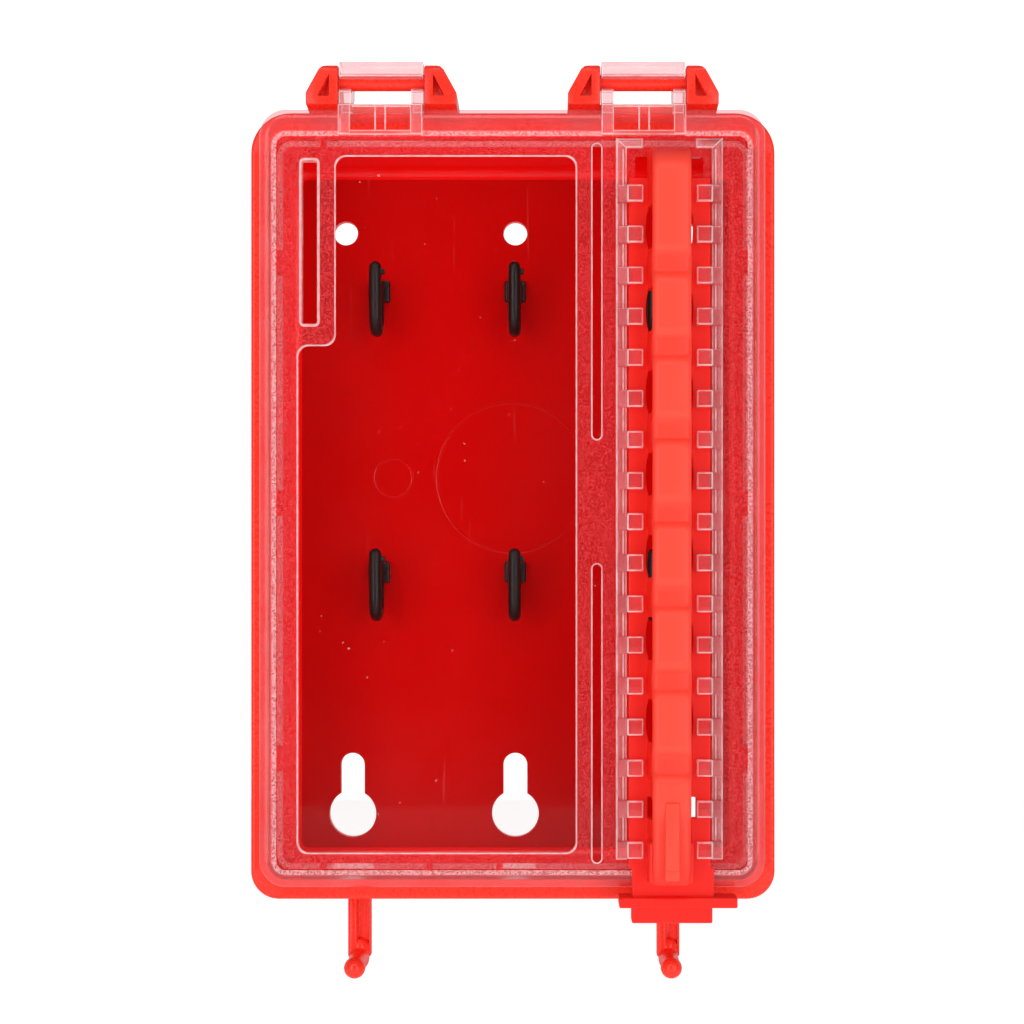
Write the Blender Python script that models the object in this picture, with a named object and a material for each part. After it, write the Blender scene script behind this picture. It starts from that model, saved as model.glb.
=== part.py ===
"""A wall-mounted group lockout box: a red box with key hooks, a clear lid hinged at its top edge, and a
red rail that slides down out of a toothed channel in the lid. Padlock shackles pass through the rail's
arches and lie between the channel's teeth, which keeps the rail, and so the lid, where it is.

The box hangs on a wall at Y = 0 and faces -Y, with X to the right and Z up. Z = 0 is about half its height.
Lengths below are millimetres, and MM turns them into Blender's metres."""

import math

import bmesh
import bpy
from mathutils import Vector

MM = 0.001
GAP = 0.3

# Base box: the rim's outline, and how far the body stands inside it on the sides, bottom and top.
BASE_WIDTH = 144.4
BASE_TOP = 109.7
BASE_BOTTOM = -107.0
RIM_RADIUS = 7.7
RIM_RADIUS_TOP = 11.0
BODY_RADIUS = 6.5
RIM_OVERHANG = 3.4
RIM_OVERHANG_TOP = 4.6
RIM_THICKNESS = 3.0
RIM_FRONT = 38.0
WALL = 2.3
BACK_WALL = 2.5
WALL_DRAFT = 0.5
SCREW_HOLE_RADIUS = 3.5
SCREW_HOLE_PITCH = 50.0
SCREW_HOLE_Z = 83.5
KEYHOLE_RADIUS = 6.9
KEYHOLE_SLOT = 3.5
KEYHOLE_PITCH = 48.0
KEYHOLE_Z = -87.8
KEYHOLE_SLOT_Z = -73.4

# Hooks.
KEY_HOOK_PITCH = 40.0
KEY_HOOK_ROWS = (66.0, -16.5)
KEY_HOOK_PAD = 6.3
KEY_HOOK_PEG = 4.0
KEY_HOOK_BAR = 1.8
KEY_HOOK_BEND = 4.3
HANG_HOOK_X = 43.8
HANG_HOOK_Y = -21.5
HANG_HOOK_DROP = 22.4
HANG_HOOK_REACH = 14.2
HANG_HOOK_RIB = 3.2
HANG_HOOK_WEB = 1.3
HANG_HOOK_ARM = 3.0
HANG_HOOK_PEG = 2.0

# Hinges: the rods' axis, and half the width of one hinge to the inner and outer faces of its ears.
HINGE_X = 35.6
HINGE_Y = -41.0
HINGE_Z = 116.9
ROD_RADIUS = 2.2
LOOP_HALF = 11.4
LOOP_ARM = 3.3
LOOP_INNER = ROD_RADIUS + GAP
LOOP_OUTER = 5.0
TAB_TOP = HINGE_Z - 6.9
EAR_HALF_INNER = LOOP_HALF + GAP
EAR_PLATE = 2.4
EAR_HALF_OUTER = 20.5
EAR_TOP = HINGE_Z + 4.0
EAR_FRONT = HINGE_Y - 4.3
EAR_SHOULDER = HINGE_Z - 4.6
EAR_FRONT_LOW = HINGE_Z - 6.9
EAR_FOOT = BASE_TOP - RIM_OVERHANG_TOP - 0.8
WEB_FRONT = 36.0
WEB_TOP = HINGE_Z - 4.5
ROD_SEAT = EAR_HALF_INNER + 1.4
ROD_CLEARANCE = 0.05

# Lid.
LID_WIDTH = 137.4
LID_TOP = 108.6
LID_BOTTOM = -102.5
LID_RADIUS = 7.3
LID_FRONT = 47.5
LID_BACK = RIM_FRONT + GAP
LID_WALL = 2.0
LID_ROUNDING = 3.0
RING_INSET = 3.6
RING_THICKNESS = 1.6
RING_TOP = 102.2
RING_BACK = 36.0
SLOT_X = 42.4
SLOT_HALF = 9.2
SLOT_TOP = 95.2
SLOT_BOTTOM = -90.0
KEY_SLOT_X = -54.7
KEY_SLOT_WIDTH = 4.0
KEY_SLOT_TOP = 94.1
KEY_SLOT_BOTTOM = 50.1
BEAD_X = 22.9
BEAD_HALF = 1.6
BEAD_HEIGHT = 0.7
BEADS = ((18.5, 98.9), (-95.7, -14.5))

# Channel: rails beside the slot, and teeth that stand on the rails and reach over the slider's plate.
RAIL_INNER = 11.4
RAIL_OUTER = 14.4
RAIL_HEIGHT = 1.6
RAIL_TOP = 99.8
RAIL_BOTTOM = -94.4
RAIL_RETURN = 7.1
TEETH = 17
TOOTH_PITCH = 11.0
TOOTH_TOP_Z = 84.5
TOOTH_LENGTH = 4.7
TOOTH_TIP = 7.1
TOOTH_OUTER = 14.0

# Slider.
PLATE_HALF = 11.0
PLATE_THICKNESS = 2.0
PLATE_BACK = LID_FRONT + GAP
PLATE_FRONT = PLATE_BACK + PLATE_THICKNESS
PLATE_TOP = 89.0
STRIP_BACK = PLATE_BACK + 0.6
LIP_BACK = PLATE_FRONT + GAP
LIP_FRONT = LIP_BACK + 1.8
PLATE_STEP = -96.5
PLATE_STEP_LEFT = -10.1
PLATE_STEP_RIGHT = 12.0
ARCHES = 7
ARCH_PITCH = 2 * TOOTH_PITCH
ARCH_TOP_Z = 75.25
ARCH_HALF = 5.1
POST_HALF = 6.0
CREST = 61.3
CREST_FLAT = 5.9
VALLEY = 59.6
VALLEY_START = 8.9
ARCH_THICKNESS = 3.4
OPENING_LENGTH = 11.4
OPENING_LEFT = -6.35
OPENING_RIGHT = 6.35
WINDOW_TOP = -77.4
WINDOW_BOTTOM = -83.0
WINDOW_RIGHT = 7.05
NOSE_TIP = 96.9
NOSE_CREST = 89.4
END_BLOCK_TOP = -88.4
END_BLOCK_BOTTOM = -100.0
END_RIB_TOP = -77.6
FLANGE_TOP = -104.2
FLANGE_BOTTOM = -107.0
FLANGE_LEFT = -13.6
FLANGE_RIGHT = 18.1
FLANGE_BACK = 43.9
FLANGE_FRONT = 51.9
GRIP_LEFT = -10.2
GRIP_RIGHT = 11.5
GRIP_BOTTOM = -111.3

RED = (0.80, 0.022, 0.012, 1.0)
SLIDER_RED = (0.90, 0.060, 0.035, 1.0)
BLACK = (0.012, 0.012, 0.012, 1.0)
CLEAR = (0.92, 0.95, 0.96, 0.35)


def clear_scene():
    for obj in list(bpy.data.objects):
        bpy.data.objects.remove(obj, do_unlink=True)


def arc(cx, cy, radius, start, end, steps):
    """Points on a circle from start to end, in degrees."""
    angles = [math.radians(start + (end - start) * i / steps) for i in range(steps + 1)]
    return [(cx + radius * math.cos(a), cy + radius * math.sin(a)) for a in angles]


def rounded_rectangle(left, right, bottom, top, radius, steps=8, wider=0.0):
    """The outline of a rectangle with round corners, anticlockwise from its lower right corner.

    wider is how much larger the radius of the two upper corners is."""
    upper = radius + wider
    return (
        arc(right - radius, bottom + radius, radius, -90, 0, steps)
        + arc(right - upper, top - upper, upper, 0, 90, steps)
        + arc(left + upper, top - upper, upper, 90, 180, steps)
        + arc(left + radius, bottom + radius, radius, 180, 270, steps)
    )


def add_object(name, mesh_builder):
    """A new object whose mesh comes from a bmesh, with its faces pointing out."""
    bmesh.ops.recalc_face_normals(mesh_builder, faces=mesh_builder.faces)
    mesh = bpy.data.meshes.new(name)
    mesh_builder.to_mesh(mesh)
    mesh_builder.free()
    mesh.shade_smooth()
    mesh.set_sharp_from_angle(angle=math.radians(32))
    obj = bpy.data.objects.new(name, mesh)
    bpy.context.scene.collection.objects.link(obj)
    return obj


def loft(name, rings):
    """A closed solid through rings of points that all have the same count; both end rings are filled."""
    build = bmesh.new()
    loops = [[build.verts.new(Vector(p) * MM) for p in ring] for ring in rings]
    count = len(rings[0])
    for lower, upper in zip(loops, loops[1:]):
        for i in range(count):
            j = (i + 1) % count
            build.faces.new((lower[i], lower[j], upper[j], upper[i]))
    build.faces.new(loops[0])
    build.faces.new(loops[-1])
    return add_object(name, build)


def prism_x(name, outline, left, right):
    """An outline of (y, z) points drawn out along X."""
    return loft(name, [[(x, y, z) for y, z in outline] for x in (left, right)])


def prism_y(name, outline, front, back):
    """An outline of (x, z) points drawn out along Y; front and back are distances from the wall."""
    return loft(name, [[(x, -y, z) for x, z in outline] for y in (back, front)])


def prism_z(name, outline, bottom, top):
    """An outline of (x, y) points drawn out along Z."""
    return loft(name, [[(x, y, z) for x, y in outline] for z in (bottom, top)])


def box(name, left, right, back, front, bottom, top):
    outline = [(left, bottom), (right, bottom), (right, top), (left, top)]
    return prism_y(name, outline, front, back)


def tube(name, path, radius, sides=12):
    """A round bar along a path of (y, z) points at x = 0, with both ends rounded off."""
    points = [Vector((0, y, z)) for y, z in path]
    first = (points[1] - points[0]).normalized()
    last = (points[-1] - points[-2]).normalized()
    stations = [(points[0] - first * radius * math.cos(a), math.sin(a), first) for a in (0.3, 0.7, 1.1)]
    for i, point in enumerate(points):
        before = points[max(i - 1, 0)]
        after = points[min(i + 1, len(points) - 1)]
        stations.append((point, 1.0, (after - before).normalized()))
    stations += [(points[-1] + last * radius * math.cos(a), math.sin(a), last) for a in (1.1, 0.7, 0.3)]
    rings = []
    for centre, scale, along in stations:
        across = Vector((0, -along.z, along.y))
        ring = []
        for k in range(sides):
            angle = 2 * math.pi * k / sides
            offset = Vector((1, 0, 0)) * math.cos(angle) + across * math.sin(angle)
            ring.append(tuple(centre + offset * radius * scale))
        rings.append(ring)
    return loft(name, rings)


def combine(target, other, operation):
    """Joins another solid to the target, or cuts it away; the other one is left as a hidden helper."""
    other.name = target.name + "." + other.name
    other.hide_render = True
    other.display_type = "WIRE"
    modifier = target.modifiers.new(other.name, "BOOLEAN")
    modifier.operation = operation
    modifier.solver = "EXACT"
    modifier.object = other


def fuse(target, *others):
    for other in others:
        combine(target, other, "UNION")


def cut(target, *others):
    for other in others:
        combine(target, other, "DIFFERENCE")


def plastic(obj, colour, roughness, transmission=0.0):
    material = bpy.data.materials.new(obj.name)
    material.use_nodes = True
    shader = material.node_tree.nodes["Principled BSDF"]
    shader.inputs["Base Color"].default_value = colour
    shader.inputs["Roughness"].default_value = roughness
    shader.inputs["Metallic"].default_value = 0.0
    shader.inputs["Transmission Weight"].default_value = transmission
    obj.data.materials.clear()
    obj.data.materials.append(material)


def set_origin_of_all(obj, x, y, z):
    """Moves the origin of an object and of its helpers, without moving their shapes."""
    offset = Vector((x, y, z)) * MM
    for piece in [obj] + [modifier.object for modifier in obj.modifiers]:
        for vertex in piece.data.vertices:
            vertex.co -= offset
        piece.location = offset


def place_all(obj, x, z):
    """Puts an object that was built at x = 0, z = 0 in its place, together with its helpers."""
    for piece in [obj] + [modifier.object for modifier in obj.modifiers]:
        piece.location = Vector((x, 0, z)) * MM


# ---------------------------------------------------------------- base box


def base_ring(inset, inset_top, y, radius, wider=0.0):
    half = BASE_WIDTH / 2 - inset
    low, high = BASE_BOTTOM + inset, BASE_TOP - inset_top
    return [(x, -y, z) for x, z in rounded_rectangle(-half, half, low, high, radius, 8, wider)]


def base_shell():
    """The open box: back face, body walls, rim, then down the inside to the back wall's front face."""
    body = RIM_OVERHANG
    body_top = RIM_OVERHANG_TOP
    inner = body + WALL
    inner_top = body_top + WALL
    deep = inner + WALL_DRAFT
    deep_top = inner_top + WALL_DRAFT
    rim_back = RIM_FRONT - RIM_THICKNESS
    corner = BODY_RADIUS
    wider = RIM_RADIUS_TOP - RIM_RADIUS
    return loft(
        "base_box",
        [
            base_ring(body + 1.0, body_top + 1.0, 0.0, corner - 1.0),
            base_ring(body, body_top, 1.0, corner),
            base_ring(body, body_top, rim_back, corner),
            base_ring(0.0, 0.0, rim_back, RIM_RADIUS, wider),
            base_ring(0.0, 0.0, RIM_FRONT - 0.8, RIM_RADIUS, wider),
            base_ring(0.3, 0.3, RIM_FRONT - 0.25, RIM_RADIUS - 0.3, wider),
            base_ring(0.8, 0.8, RIM_FRONT, RIM_RADIUS - 0.8, wider),
            base_ring(inner, inner_top, RIM_FRONT, corner - 1.5),
            base_ring(deep, deep_top, BACK_WALL + 3.0, corner - 1.5),
            base_ring(deep + 0.9, deep_top + 0.9, BACK_WALL + 0.9, corner - 2.4),
            base_ring(deep + 3.0, deep_top + 3.0, BACK_WALL, corner - 3.6),
        ],
    )


def keyhole_outline(x):
    half_angle = math.degrees(math.asin(KEYHOLE_SLOT / KEYHOLE_RADIUS))
    round_part = arc(x, KEYHOLE_Z, KEYHOLE_RADIUS, 90 + half_angle, 450 - half_angle, 24)
    return round_part + arc(x, KEYHOLE_SLOT_Z, KEYHOLE_SLOT, 0, 180, 10)


def cut_wall_holes(base):
    for i in (-1, 0, 1):
        hole = arc(i * SCREW_HOLE_PITCH, SCREW_HOLE_Z, SCREW_HOLE_RADIUS, 0, 345, 23)
        cut(base, prism_y("screw_hole", hole, BACK_WALL + 1, -1))
        cut(base, prism_y("keyhole", keyhole_outline(i * KEYHOLE_PITCH), BACK_WALL + 1, -1))
    half = KEY_HOOK_PEG / 2 + GAP
    for x, z in key_hook_places():
        cut(base, box("peg_hole", x - half, x + half, -1, BACK_WALL + 1, z - half, z + half))


def cut_hook_holes(base):
    """Holes in the bottom wall for the hanging hooks' pegs."""
    bottom = BASE_BOTTOM + RIM_OVERHANG
    for side in (-1, 1):
        hole = arc(side * HANG_HOOK_X, HANG_HOOK_Y, HANG_HOOK_PEG + GAP, 0, 345, 23)
        cut(base, prism_z("hook_hole", hole, bottom - 1, bottom + WALL + WALL_DRAFT + 1))


def ear_profile():
    """Side view of a hinge ear: a foot on the box's top wall and a head that carries the rod."""
    return [
        (-RIM_FRONT + 0.2, EAR_FOOT),
        (-24.0, EAR_FOOT),
        (-24.0, EAR_FOOT + 3.0),
        (-34.5, EAR_TOP - 0.8),
        (-36.0, EAR_TOP),
        (EAR_FRONT + 1.2, EAR_TOP),
        (EAR_FRONT, EAR_TOP - 1.2),
        (EAR_FRONT, EAR_FRONT_LOW),
        (-RIM_FRONT + 0.2, EAR_FRONT_LOW - 0.7),
    ]


def ear_solid(centre, side):
    inner = centre + side * EAR_HALF_INNER
    outer = centre + side * EAR_HALF_OUTER
    return prism_x("ear", ear_profile(), min(inner, outer), max(inner, outer))


def ear_slope(centre, side):
    """The cutter that takes off the ear's outer top corner."""
    outer = centre + side * EAR_HALF_OUTER
    outline = [
        (outer + side, EAR_SHOULDER - 1.0),
        (outer - side * 3.6, EAR_TOP - 1.3),
        (outer - side * 5.8, EAR_TOP),
        (outer - side * 6, EAR_TOP + 2.2),
        (outer + side * 3, EAR_TOP + 2.2),
    ]
    return prism_y("slope", outline, 50, 20)


def ear_pocket(centre, side):
    """The cutter for the three-cornered recess in the ear's front."""
    outer = centre + side * EAR_HALF_OUTER
    inner = centre + side * (EAR_HALF_INNER + EAR_PLATE)
    outline = [(inner, EAR_SHOULDER), (outer - side * 3.2, EAR_SHOULDER), (inner, EAR_SHOULDER + 6)]
    return prism_y("pocket", outline, 50, -HINGE_Y - 1.0)


def ear_web(centre):
    """The upright web that joins the two ears of a hinge, behind the loop."""
    half = EAR_HALF_INNER + 1.0
    return box("web", centre - half, centre + half, WEB_FRONT - 2.5, WEB_FRONT, EAR_FOOT, WEB_TOP)


def add_ears(base):
    for centre in (-HINGE_X, HINGE_X):
        for side in (-1, 1):
            fuse(base, ear_solid(centre, side))
        fuse(base, ear_web(centre))
    for centre in (-HINGE_X, HINGE_X):
        for side in (-1, 1):
            cut(base, ear_slope(centre, side), ear_pocket(centre, side))
        socket = ROD_SEAT + 0.2
        bore = arc(HINGE_Y, HINGE_Z, ROD_RADIUS + ROD_CLEARANCE, 0, 345, 23)
        cut(base, prism_x("rod_bore", bore, centre - socket, centre + socket))


def make_base():
    base = base_shell()
    add_ears(base)
    cut_wall_holes(base)
    cut_hook_holes(base)
    plastic(base, RED, 0.35)


def make_rods():
    for name, centre in (("hinge_rod_left", -HINGE_X), ("hinge_rod_right", HINGE_X)):
        outline = arc(HINGE_Y, HINGE_Z, ROD_RADIUS, 0, 345, 23)
        rod = prism_x(name, outline, centre - ROD_SEAT, centre + ROD_SEAT)
        plastic(rod, RED, 0.3)


# ---------------------------------------------------------------- hooks


def key_hook_places():
    return [(i * KEY_HOOK_PITCH, z) for z in KEY_HOOK_ROWS for i in (-1, 0, 1)]


def key_hook_path():
    """Centre line of the J: out of the pad, down, round the bottom and up to the tip."""
    start = -BACK_WALL - 1.7
    down = start - 3.6
    up = down - 2 * KEY_HOOK_BEND
    path = [(start, 1.4), (start - 1.9, 1.2), (start - 3.1, -0.4), (down, -3.0)]
    path += arc(down - KEY_HOOK_BEND, KEY_HOOK_BEND - 12.6, KEY_HOOK_BEND, 0, -180, 8)
    return path + [(up - 0.2, -4.0), (up - 0.4, 4.9)]


def make_key_hooks():
    peg = KEY_HOOK_PEG / 2
    pad = KEY_HOOK_PAD / 2
    for i, (x, z) in enumerate(key_hook_places()):
        name = f"key_hook_{i + 1}"
        hook = box(name, -peg, peg, 0.3, BACK_WALL + 1, -peg, peg)
        fuse(hook, box("pad", -pad, pad, BACK_WALL + GAP, BACK_WALL + 2.8, -pad, pad))
        fuse(hook, tube("bar", key_hook_path(), KEY_HOOK_BAR))
        place_all(hook, x, z)
        plastic(hook, BLACK, 0.35)


def make_hang_hooks():
    top = BASE_BOTTOM + RIM_OVERHANG - GAP
    low = top - HANG_HOOK_DROP
    rib, web = HANG_HOOK_RIB, HANG_HOOK_WEB
    for name, side in (("hang_hook_left", -1), ("hang_hook_right", 1)):
        cross = [(-rib, -web), (-web, -web), (-web, -rib), (web, -rib), (web, -web), (rib, -web)]
        cross += [(-x, -y) for x, y in cross]
        stem = [(x, y + HANG_HOOK_Y) for x, y in cross]
        hook = prism_z(name, stem, low, top)
        peg = [(x, y + HANG_HOOK_Y) for x, y in arc(0, 0, HANG_HOOK_PEG, 0, 345, 23)]
        fuse(hook, prism_z("peg", peg, top - 1, top + GAP + WALL))
        arm = [(HANG_HOOK_Y + 0.6, low), (HANG_HOOK_Y - HANG_HOOK_REACH, low)]
        fuse(hook, tube("arm", arm, HANG_HOOK_ARM, 20))
        place_all(hook, side * HANG_HOOK_X, 0)
        plastic(hook, RED, 0.35)


# ---------------------------------------------------------------- lid


def lid_ring(inset, y, radius):
    half = LID_WIDTH / 2 - inset
    outline = rounded_rectangle(-half, half, LID_BOTTOM + inset, LID_TOP - inset, radius)
    return [(x, -y, z) for x, z in outline]


def lid_shell():
    """The tray: skirt, front edge rounded in steps, face, then the inside from the skirt's back edge."""
    start = LID_FRONT - LID_ROUNDING
    rings = [lid_ring(LID_WALL + 1.4, LID_FRONT - LID_WALL, LID_RADIUS - 3.4)]
    rings.append(lid_ring(LID_WALL, LID_FRONT - LID_WALL - 1.4, LID_RADIUS - LID_WALL))
    rings.append(lid_ring(LID_WALL, LID_BACK, LID_RADIUS - LID_WALL))
    rings.append(lid_ring(0.0, LID_BACK, LID_RADIUS))
    for step in range(5):
        angle = math.radians(90 * step / 4)
        inset = LID_ROUNDING * (1 - math.cos(angle))
        rings.append(lid_ring(inset, start + LID_ROUNDING * math.sin(angle), LID_RADIUS - inset))
    return loft("lid", rings)


def locating_ring():
    """The rib on the lid's back that drops inside the box's rim."""
    half = LID_WIDTH / 2 - RING_INSET
    low = LID_BOTTOM + RING_INSET
    rings = []
    for inset, y in ((0, LID_FRONT - 1), (0, RING_BACK), (RING_THICKNESS, RING_BACK)):
        outline = rounded_rectangle(-half + inset, half - inset, low + inset, RING_TOP - inset, 4.0 - inset)
        rings.append([(x, -y, z) for x, z in outline])
    outline = rounded_rectangle(
        -half + RING_THICKNESS, half - RING_THICKNESS, low + RING_THICKNESS, RING_TOP - RING_THICKNESS, 2.4
    )
    rings.append([(x, -LID_FRONT + LID_WALL, z) for x, z in outline])
    return loft("ring", rings)


def rail(side):
    """One rail beside the slot, with the short return at its top that leaves the middle free."""
    inner = SLOT_X + side * RAIL_INNER
    outer = SLOT_X + side * RAIL_OUTER
    back = SLOT_X + side * RAIL_RETURN
    outline = [
        (outer, RAIL_BOTTOM),
        (outer, RAIL_TOP),
        (back, RAIL_TOP),
        (back, SLOT_TOP + 2.0),
        (inner, SLOT_TOP + 2.0),
        (inner, RAIL_BOTTOM),
    ]
    return prism_y("rail", outline, LID_FRONT + RAIL_HEIGHT, LID_FRONT - 1)


def tooth(side, z):
    """A wall that stands on the rail and a lip that reaches over the plate's edge."""
    outer = SLOT_X + side * TOOTH_OUTER
    inner = SLOT_X + side * RAIL_INNER
    tip = SLOT_X + side * TOOTH_TIP
    outline = [
        (outer, -LID_FRONT + 1),
        (outer, -LIP_FRONT + 0.4),
        (outer - side * 0.4, -LIP_FRONT),
        (tip + side * 0.5, -LIP_FRONT),
        (tip, -LIP_FRONT + 0.5),
        (tip, -LIP_BACK),
        (inner, -LIP_BACK),
        (inner, -LID_FRONT + 1),
    ]
    return prism_z("tooth", outline, z - TOOTH_LENGTH / 2, z + TOOTH_LENGTH / 2)


def bead(low, high):
    outline = arc(BEAD_X, high - BEAD_HALF, BEAD_HALF, 0, 180, 8)
    outline += arc(BEAD_X, low + BEAD_HALF, BEAD_HALF, 180, 360, 8)
    return prism_y("bead", outline, LID_FRONT + BEAD_HEIGHT, LID_FRONT - 1)


def loop_profile(start, end):
    """Side view of a stretch of the hinge loop, round inside and a rounded square outside.

    180 degrees is the rod's front, 90 its top and 0 its back."""
    steps = max(4, abs(end - start) // 12)
    outside = []
    for y, z in arc(0, 0, 1, start, end, steps):
        reach = LOOP_OUTER / (abs(y) ** 5 + abs(z) ** 5) ** 0.2
        outside.append((HINGE_Y + y * reach, HINGE_Z + z * reach))
    return outside + arc(HINGE_Y, HINGE_Z, LOOP_INNER, end, start, steps)


def tab_profile():
    """Side view of the tab over the lid's top edge, which carries the loop's arms."""
    back = HINGE_Y - LOOP_INNER
    front = -LID_FRONT - 0.8
    return [
        (back, LID_TOP - 4),
        (back, TAB_TOP),
        (HINGE_Y - LOOP_OUTER, TAB_TOP),
        (front, TAB_TOP - 2.4),
        (front, LID_TOP - 7.4),
        (-LID_FRONT + 1, LID_TOP - 8.4),
        (back, LID_TOP - 8.4),
    ]


def post_profile():
    """Side view of the block that joins one arm of the loop, under the rod, to the tab."""
    low = LID_TOP - 1.5
    under = HINGE_Z - LOOP_INNER - 0.2
    return [
        (HINGE_Y + 1.6, LID_TOP + 0.6),
        (HINGE_Y + 1.6, HINGE_Z - LOOP_INNER - 1.2),
        (HINGE_Y, under),
        (HINGE_Y - LOOP_OUTER + 0.8, under),
        (HINGE_Y - LOOP_OUTER, under - 0.8),
        (HINGE_Y - LOOP_OUTER, low),
        (HINGE_Y - 1.0, low),
    ]


def add_hinge_loop(lid, centre):
    left = centre - LOOP_HALF
    right = centre + LOOP_HALF
    fuse(lid, prism_x("tab", tab_profile(), left, right))
    for start in (left, right - LOOP_ARM):
        fuse(lid, prism_x("post", post_profile(), start, start + LOOP_ARM))
        fuse(lid, prism_x("arm", loop_profile(40, -98), start, start + LOOP_ARM))
    fuse(lid, prism_x("bridge", loop_profile(178, 25), left, right))


def make_lid():
    lid = lid_shell()
    fuse(lid, locating_ring())
    for centre in (-HINGE_X, HINGE_X):
        add_hinge_loop(lid, centre)
    for side in (-1, 1):
        fuse(lid, rail(side))
        for i in range(TEETH):
            fuse(lid, tooth(side, TOOTH_TOP_Z - i * TOOTH_PITCH))
    for low, high in BEADS:
        fuse(lid, bead(low, high))
    slot = rounded_rectangle(SLOT_X - SLOT_HALF, SLOT_X + SLOT_HALF, SLOT_BOTTOM, SLOT_TOP, 1.0, 2)
    cut(lid, prism_y("slot", slot, LIP_BACK - 0.2, LID_FRONT - LID_WALL - 1))
    half = KEY_SLOT_WIDTH / 2
    left, right = KEY_SLOT_X - half, KEY_SLOT_X + half
    key_slot = rounded_rectangle(left, right, KEY_SLOT_BOTTOM, KEY_SLOT_TOP, 0.5, 2)
    cut(lid, prism_y("key_slot", key_slot, LID_FRONT + 5, LID_FRONT - LID_WALL - 1))
    plastic(lid, CLEAR, 0.25, 0.8)
    set_origin_of_all(lid, 0, HINGE_Y, HINGE_Z)


# ---------------------------------------------------------------- slider


def crest_depth(z):
    """How far the arch strip's front stands from the wall at height z: flat crests, smooth valleys."""
    turn = max(ARCH_TOP_Z - z, 0.0) / ARCH_PITCH
    away = abs(turn - round(turn)) * ARCH_PITCH
    blend = min(max((away - CREST_FLAT) / (VALLEY_START - CREST_FLAT), 0.0), 1.0)
    smooth = blend * blend * (3 - 2 * blend)
    return CREST + (VALLEY - CREST) * smooth


def strip_outline():
    """Side view of the strip: the nose, over the crests to the end block, and back inside the plate."""
    last_crest = ARCH_TOP_Z - ARCHES * ARCH_PITCH
    points = [(-STRIP_BACK, NOSE_TIP), (-PLATE_FRONT - 0.8, NOSE_TIP)]
    points += [(-CREST + 2.4, NOSE_CREST + 2.4), (-CREST + 0.6, NOSE_CREST + 0.6)]
    steps = 150
    for i in range(steps):
        z = NOSE_CREST - 0.8 + (last_crest - NOSE_CREST + 0.8) * i / steps
        points.append((-crest_depth(z), z))
    points += [(-CREST, last_crest - 1.0), (-CREST + 0.8, last_crest - 6.0)]
    points += [(-CREST + 2.4, END_BLOCK_BOTTOM + 1.0), (-CREST + 3.4, END_BLOCK_BOTTOM)]
    return points + [(-STRIP_BACK, END_BLOCK_BOTTOM)]


def arch_opening(low, high, right):
    """The way through under one arch, from side to side, with its far corners rounded."""
    roof = -CREST + ARCH_THICKNESS
    round_off = 2.6
    outline = [(-PLATE_BACK + 2, low)]
    outline += arc(roof + round_off, low + round_off, round_off, 270, 180, 5)
    outline += arc(roof + round_off, high - round_off, round_off, 180, 90, 5)
    outline += [(-PLATE_BACK + 2, high)]
    return prism_x("opening", outline, SLOT_X + OPENING_LEFT, SLOT_X + right)


def arch_openings():
    """The openings for padlock shackles, and the short one below them."""
    half = OPENING_LENGTH / 2
    centres = [ARCH_TOP_Z - i * ARCH_PITCH for i in range(ARCHES)]
    openings = [arch_opening(z - half, z + half, OPENING_RIGHT) for z in centres]
    return openings + [arch_opening(WINDOW_BOTTOM, WINDOW_TOP, WINDOW_RIGHT)]


def posts():
    """The feet of the strip between its openings, which flare out where they meet the plate."""
    slim = POST_HALF - 1.0
    shallow = -PLATE_FRONT - 0.5
    deep = -PLATE_FRONT - 4.5
    half = [(POST_HALF, -STRIP_BACK), (POST_HALF, shallow), (slim, deep)]
    outline = [(SLOT_X - x, y) for x, y in half] + [(SLOT_X + x, y) for x, y in reversed(half)]
    ends = [ARCH_TOP_Z - i * ARCH_PITCH - OPENING_LENGTH / 2 for i in range(ARCHES)]
    starts = [end - ARCH_PITCH + OPENING_LENGTH for end in ends[:-1]] + [WINDOW_TOP]
    return [prism_z("post", outline, low + 0.2, high - 0.2) for low, high in zip(starts, ends)]


def end_pieces():
    """The solid lower end of the strip, and the narrow rib that runs down its middle."""
    left, right = SLOT_X - POST_HALF, SLOT_X + POST_HALF
    block = box("end_block", left, right, STRIP_BACK, CREST - 3.8, END_BLOCK_BOTTOM + 0.3, END_BLOCK_TOP)
    left, right = SLOT_X - 2, SLOT_X + 2
    rib = box("end_rib", left, right, CREST - 6, CREST + 0.5, END_BLOCK_BOTTOM + 1.8, END_RIB_TOP)
    return block, rib


def pull_pieces():
    """The flange that closes under the lid's bottom edge, and the grip block below it."""
    left, right = SLOT_X + FLANGE_LEFT, SLOT_X + FLANGE_RIGHT
    flange = box("flange", left, right, FLANGE_BACK, FLANGE_FRONT, FLANGE_BOTTOM, FLANGE_TOP)
    left, right = SLOT_X + GRIP_LEFT, SLOT_X + GRIP_RIGHT
    grip = box("grip", left, right, FLANGE_BACK + 0.4, FLANGE_FRONT - 1.4, GRIP_BOTTOM, FLANGE_BOTTOM + 0.5)
    return flange, grip


def slider_plate():
    """The flat plate between the rails; it steps a little to the right below them."""
    low = FLANGE_TOP - 1
    outline = [
        (-PLATE_HALF, PLATE_TOP),
        (-PLATE_HALF, PLATE_STEP),
        (PLATE_STEP_LEFT, PLATE_STEP),
        (PLATE_STEP_LEFT, low),
        (PLATE_STEP_RIGHT, low),
        (PLATE_STEP_RIGHT, PLATE_STEP),
        (PLATE_HALF, PLATE_STEP),
        (PLATE_HALF, PLATE_TOP),
    ]
    return prism_y("lock_slider", [(SLOT_X + x, z) for x, z in outline], PLATE_FRONT, PLATE_BACK)


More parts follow.
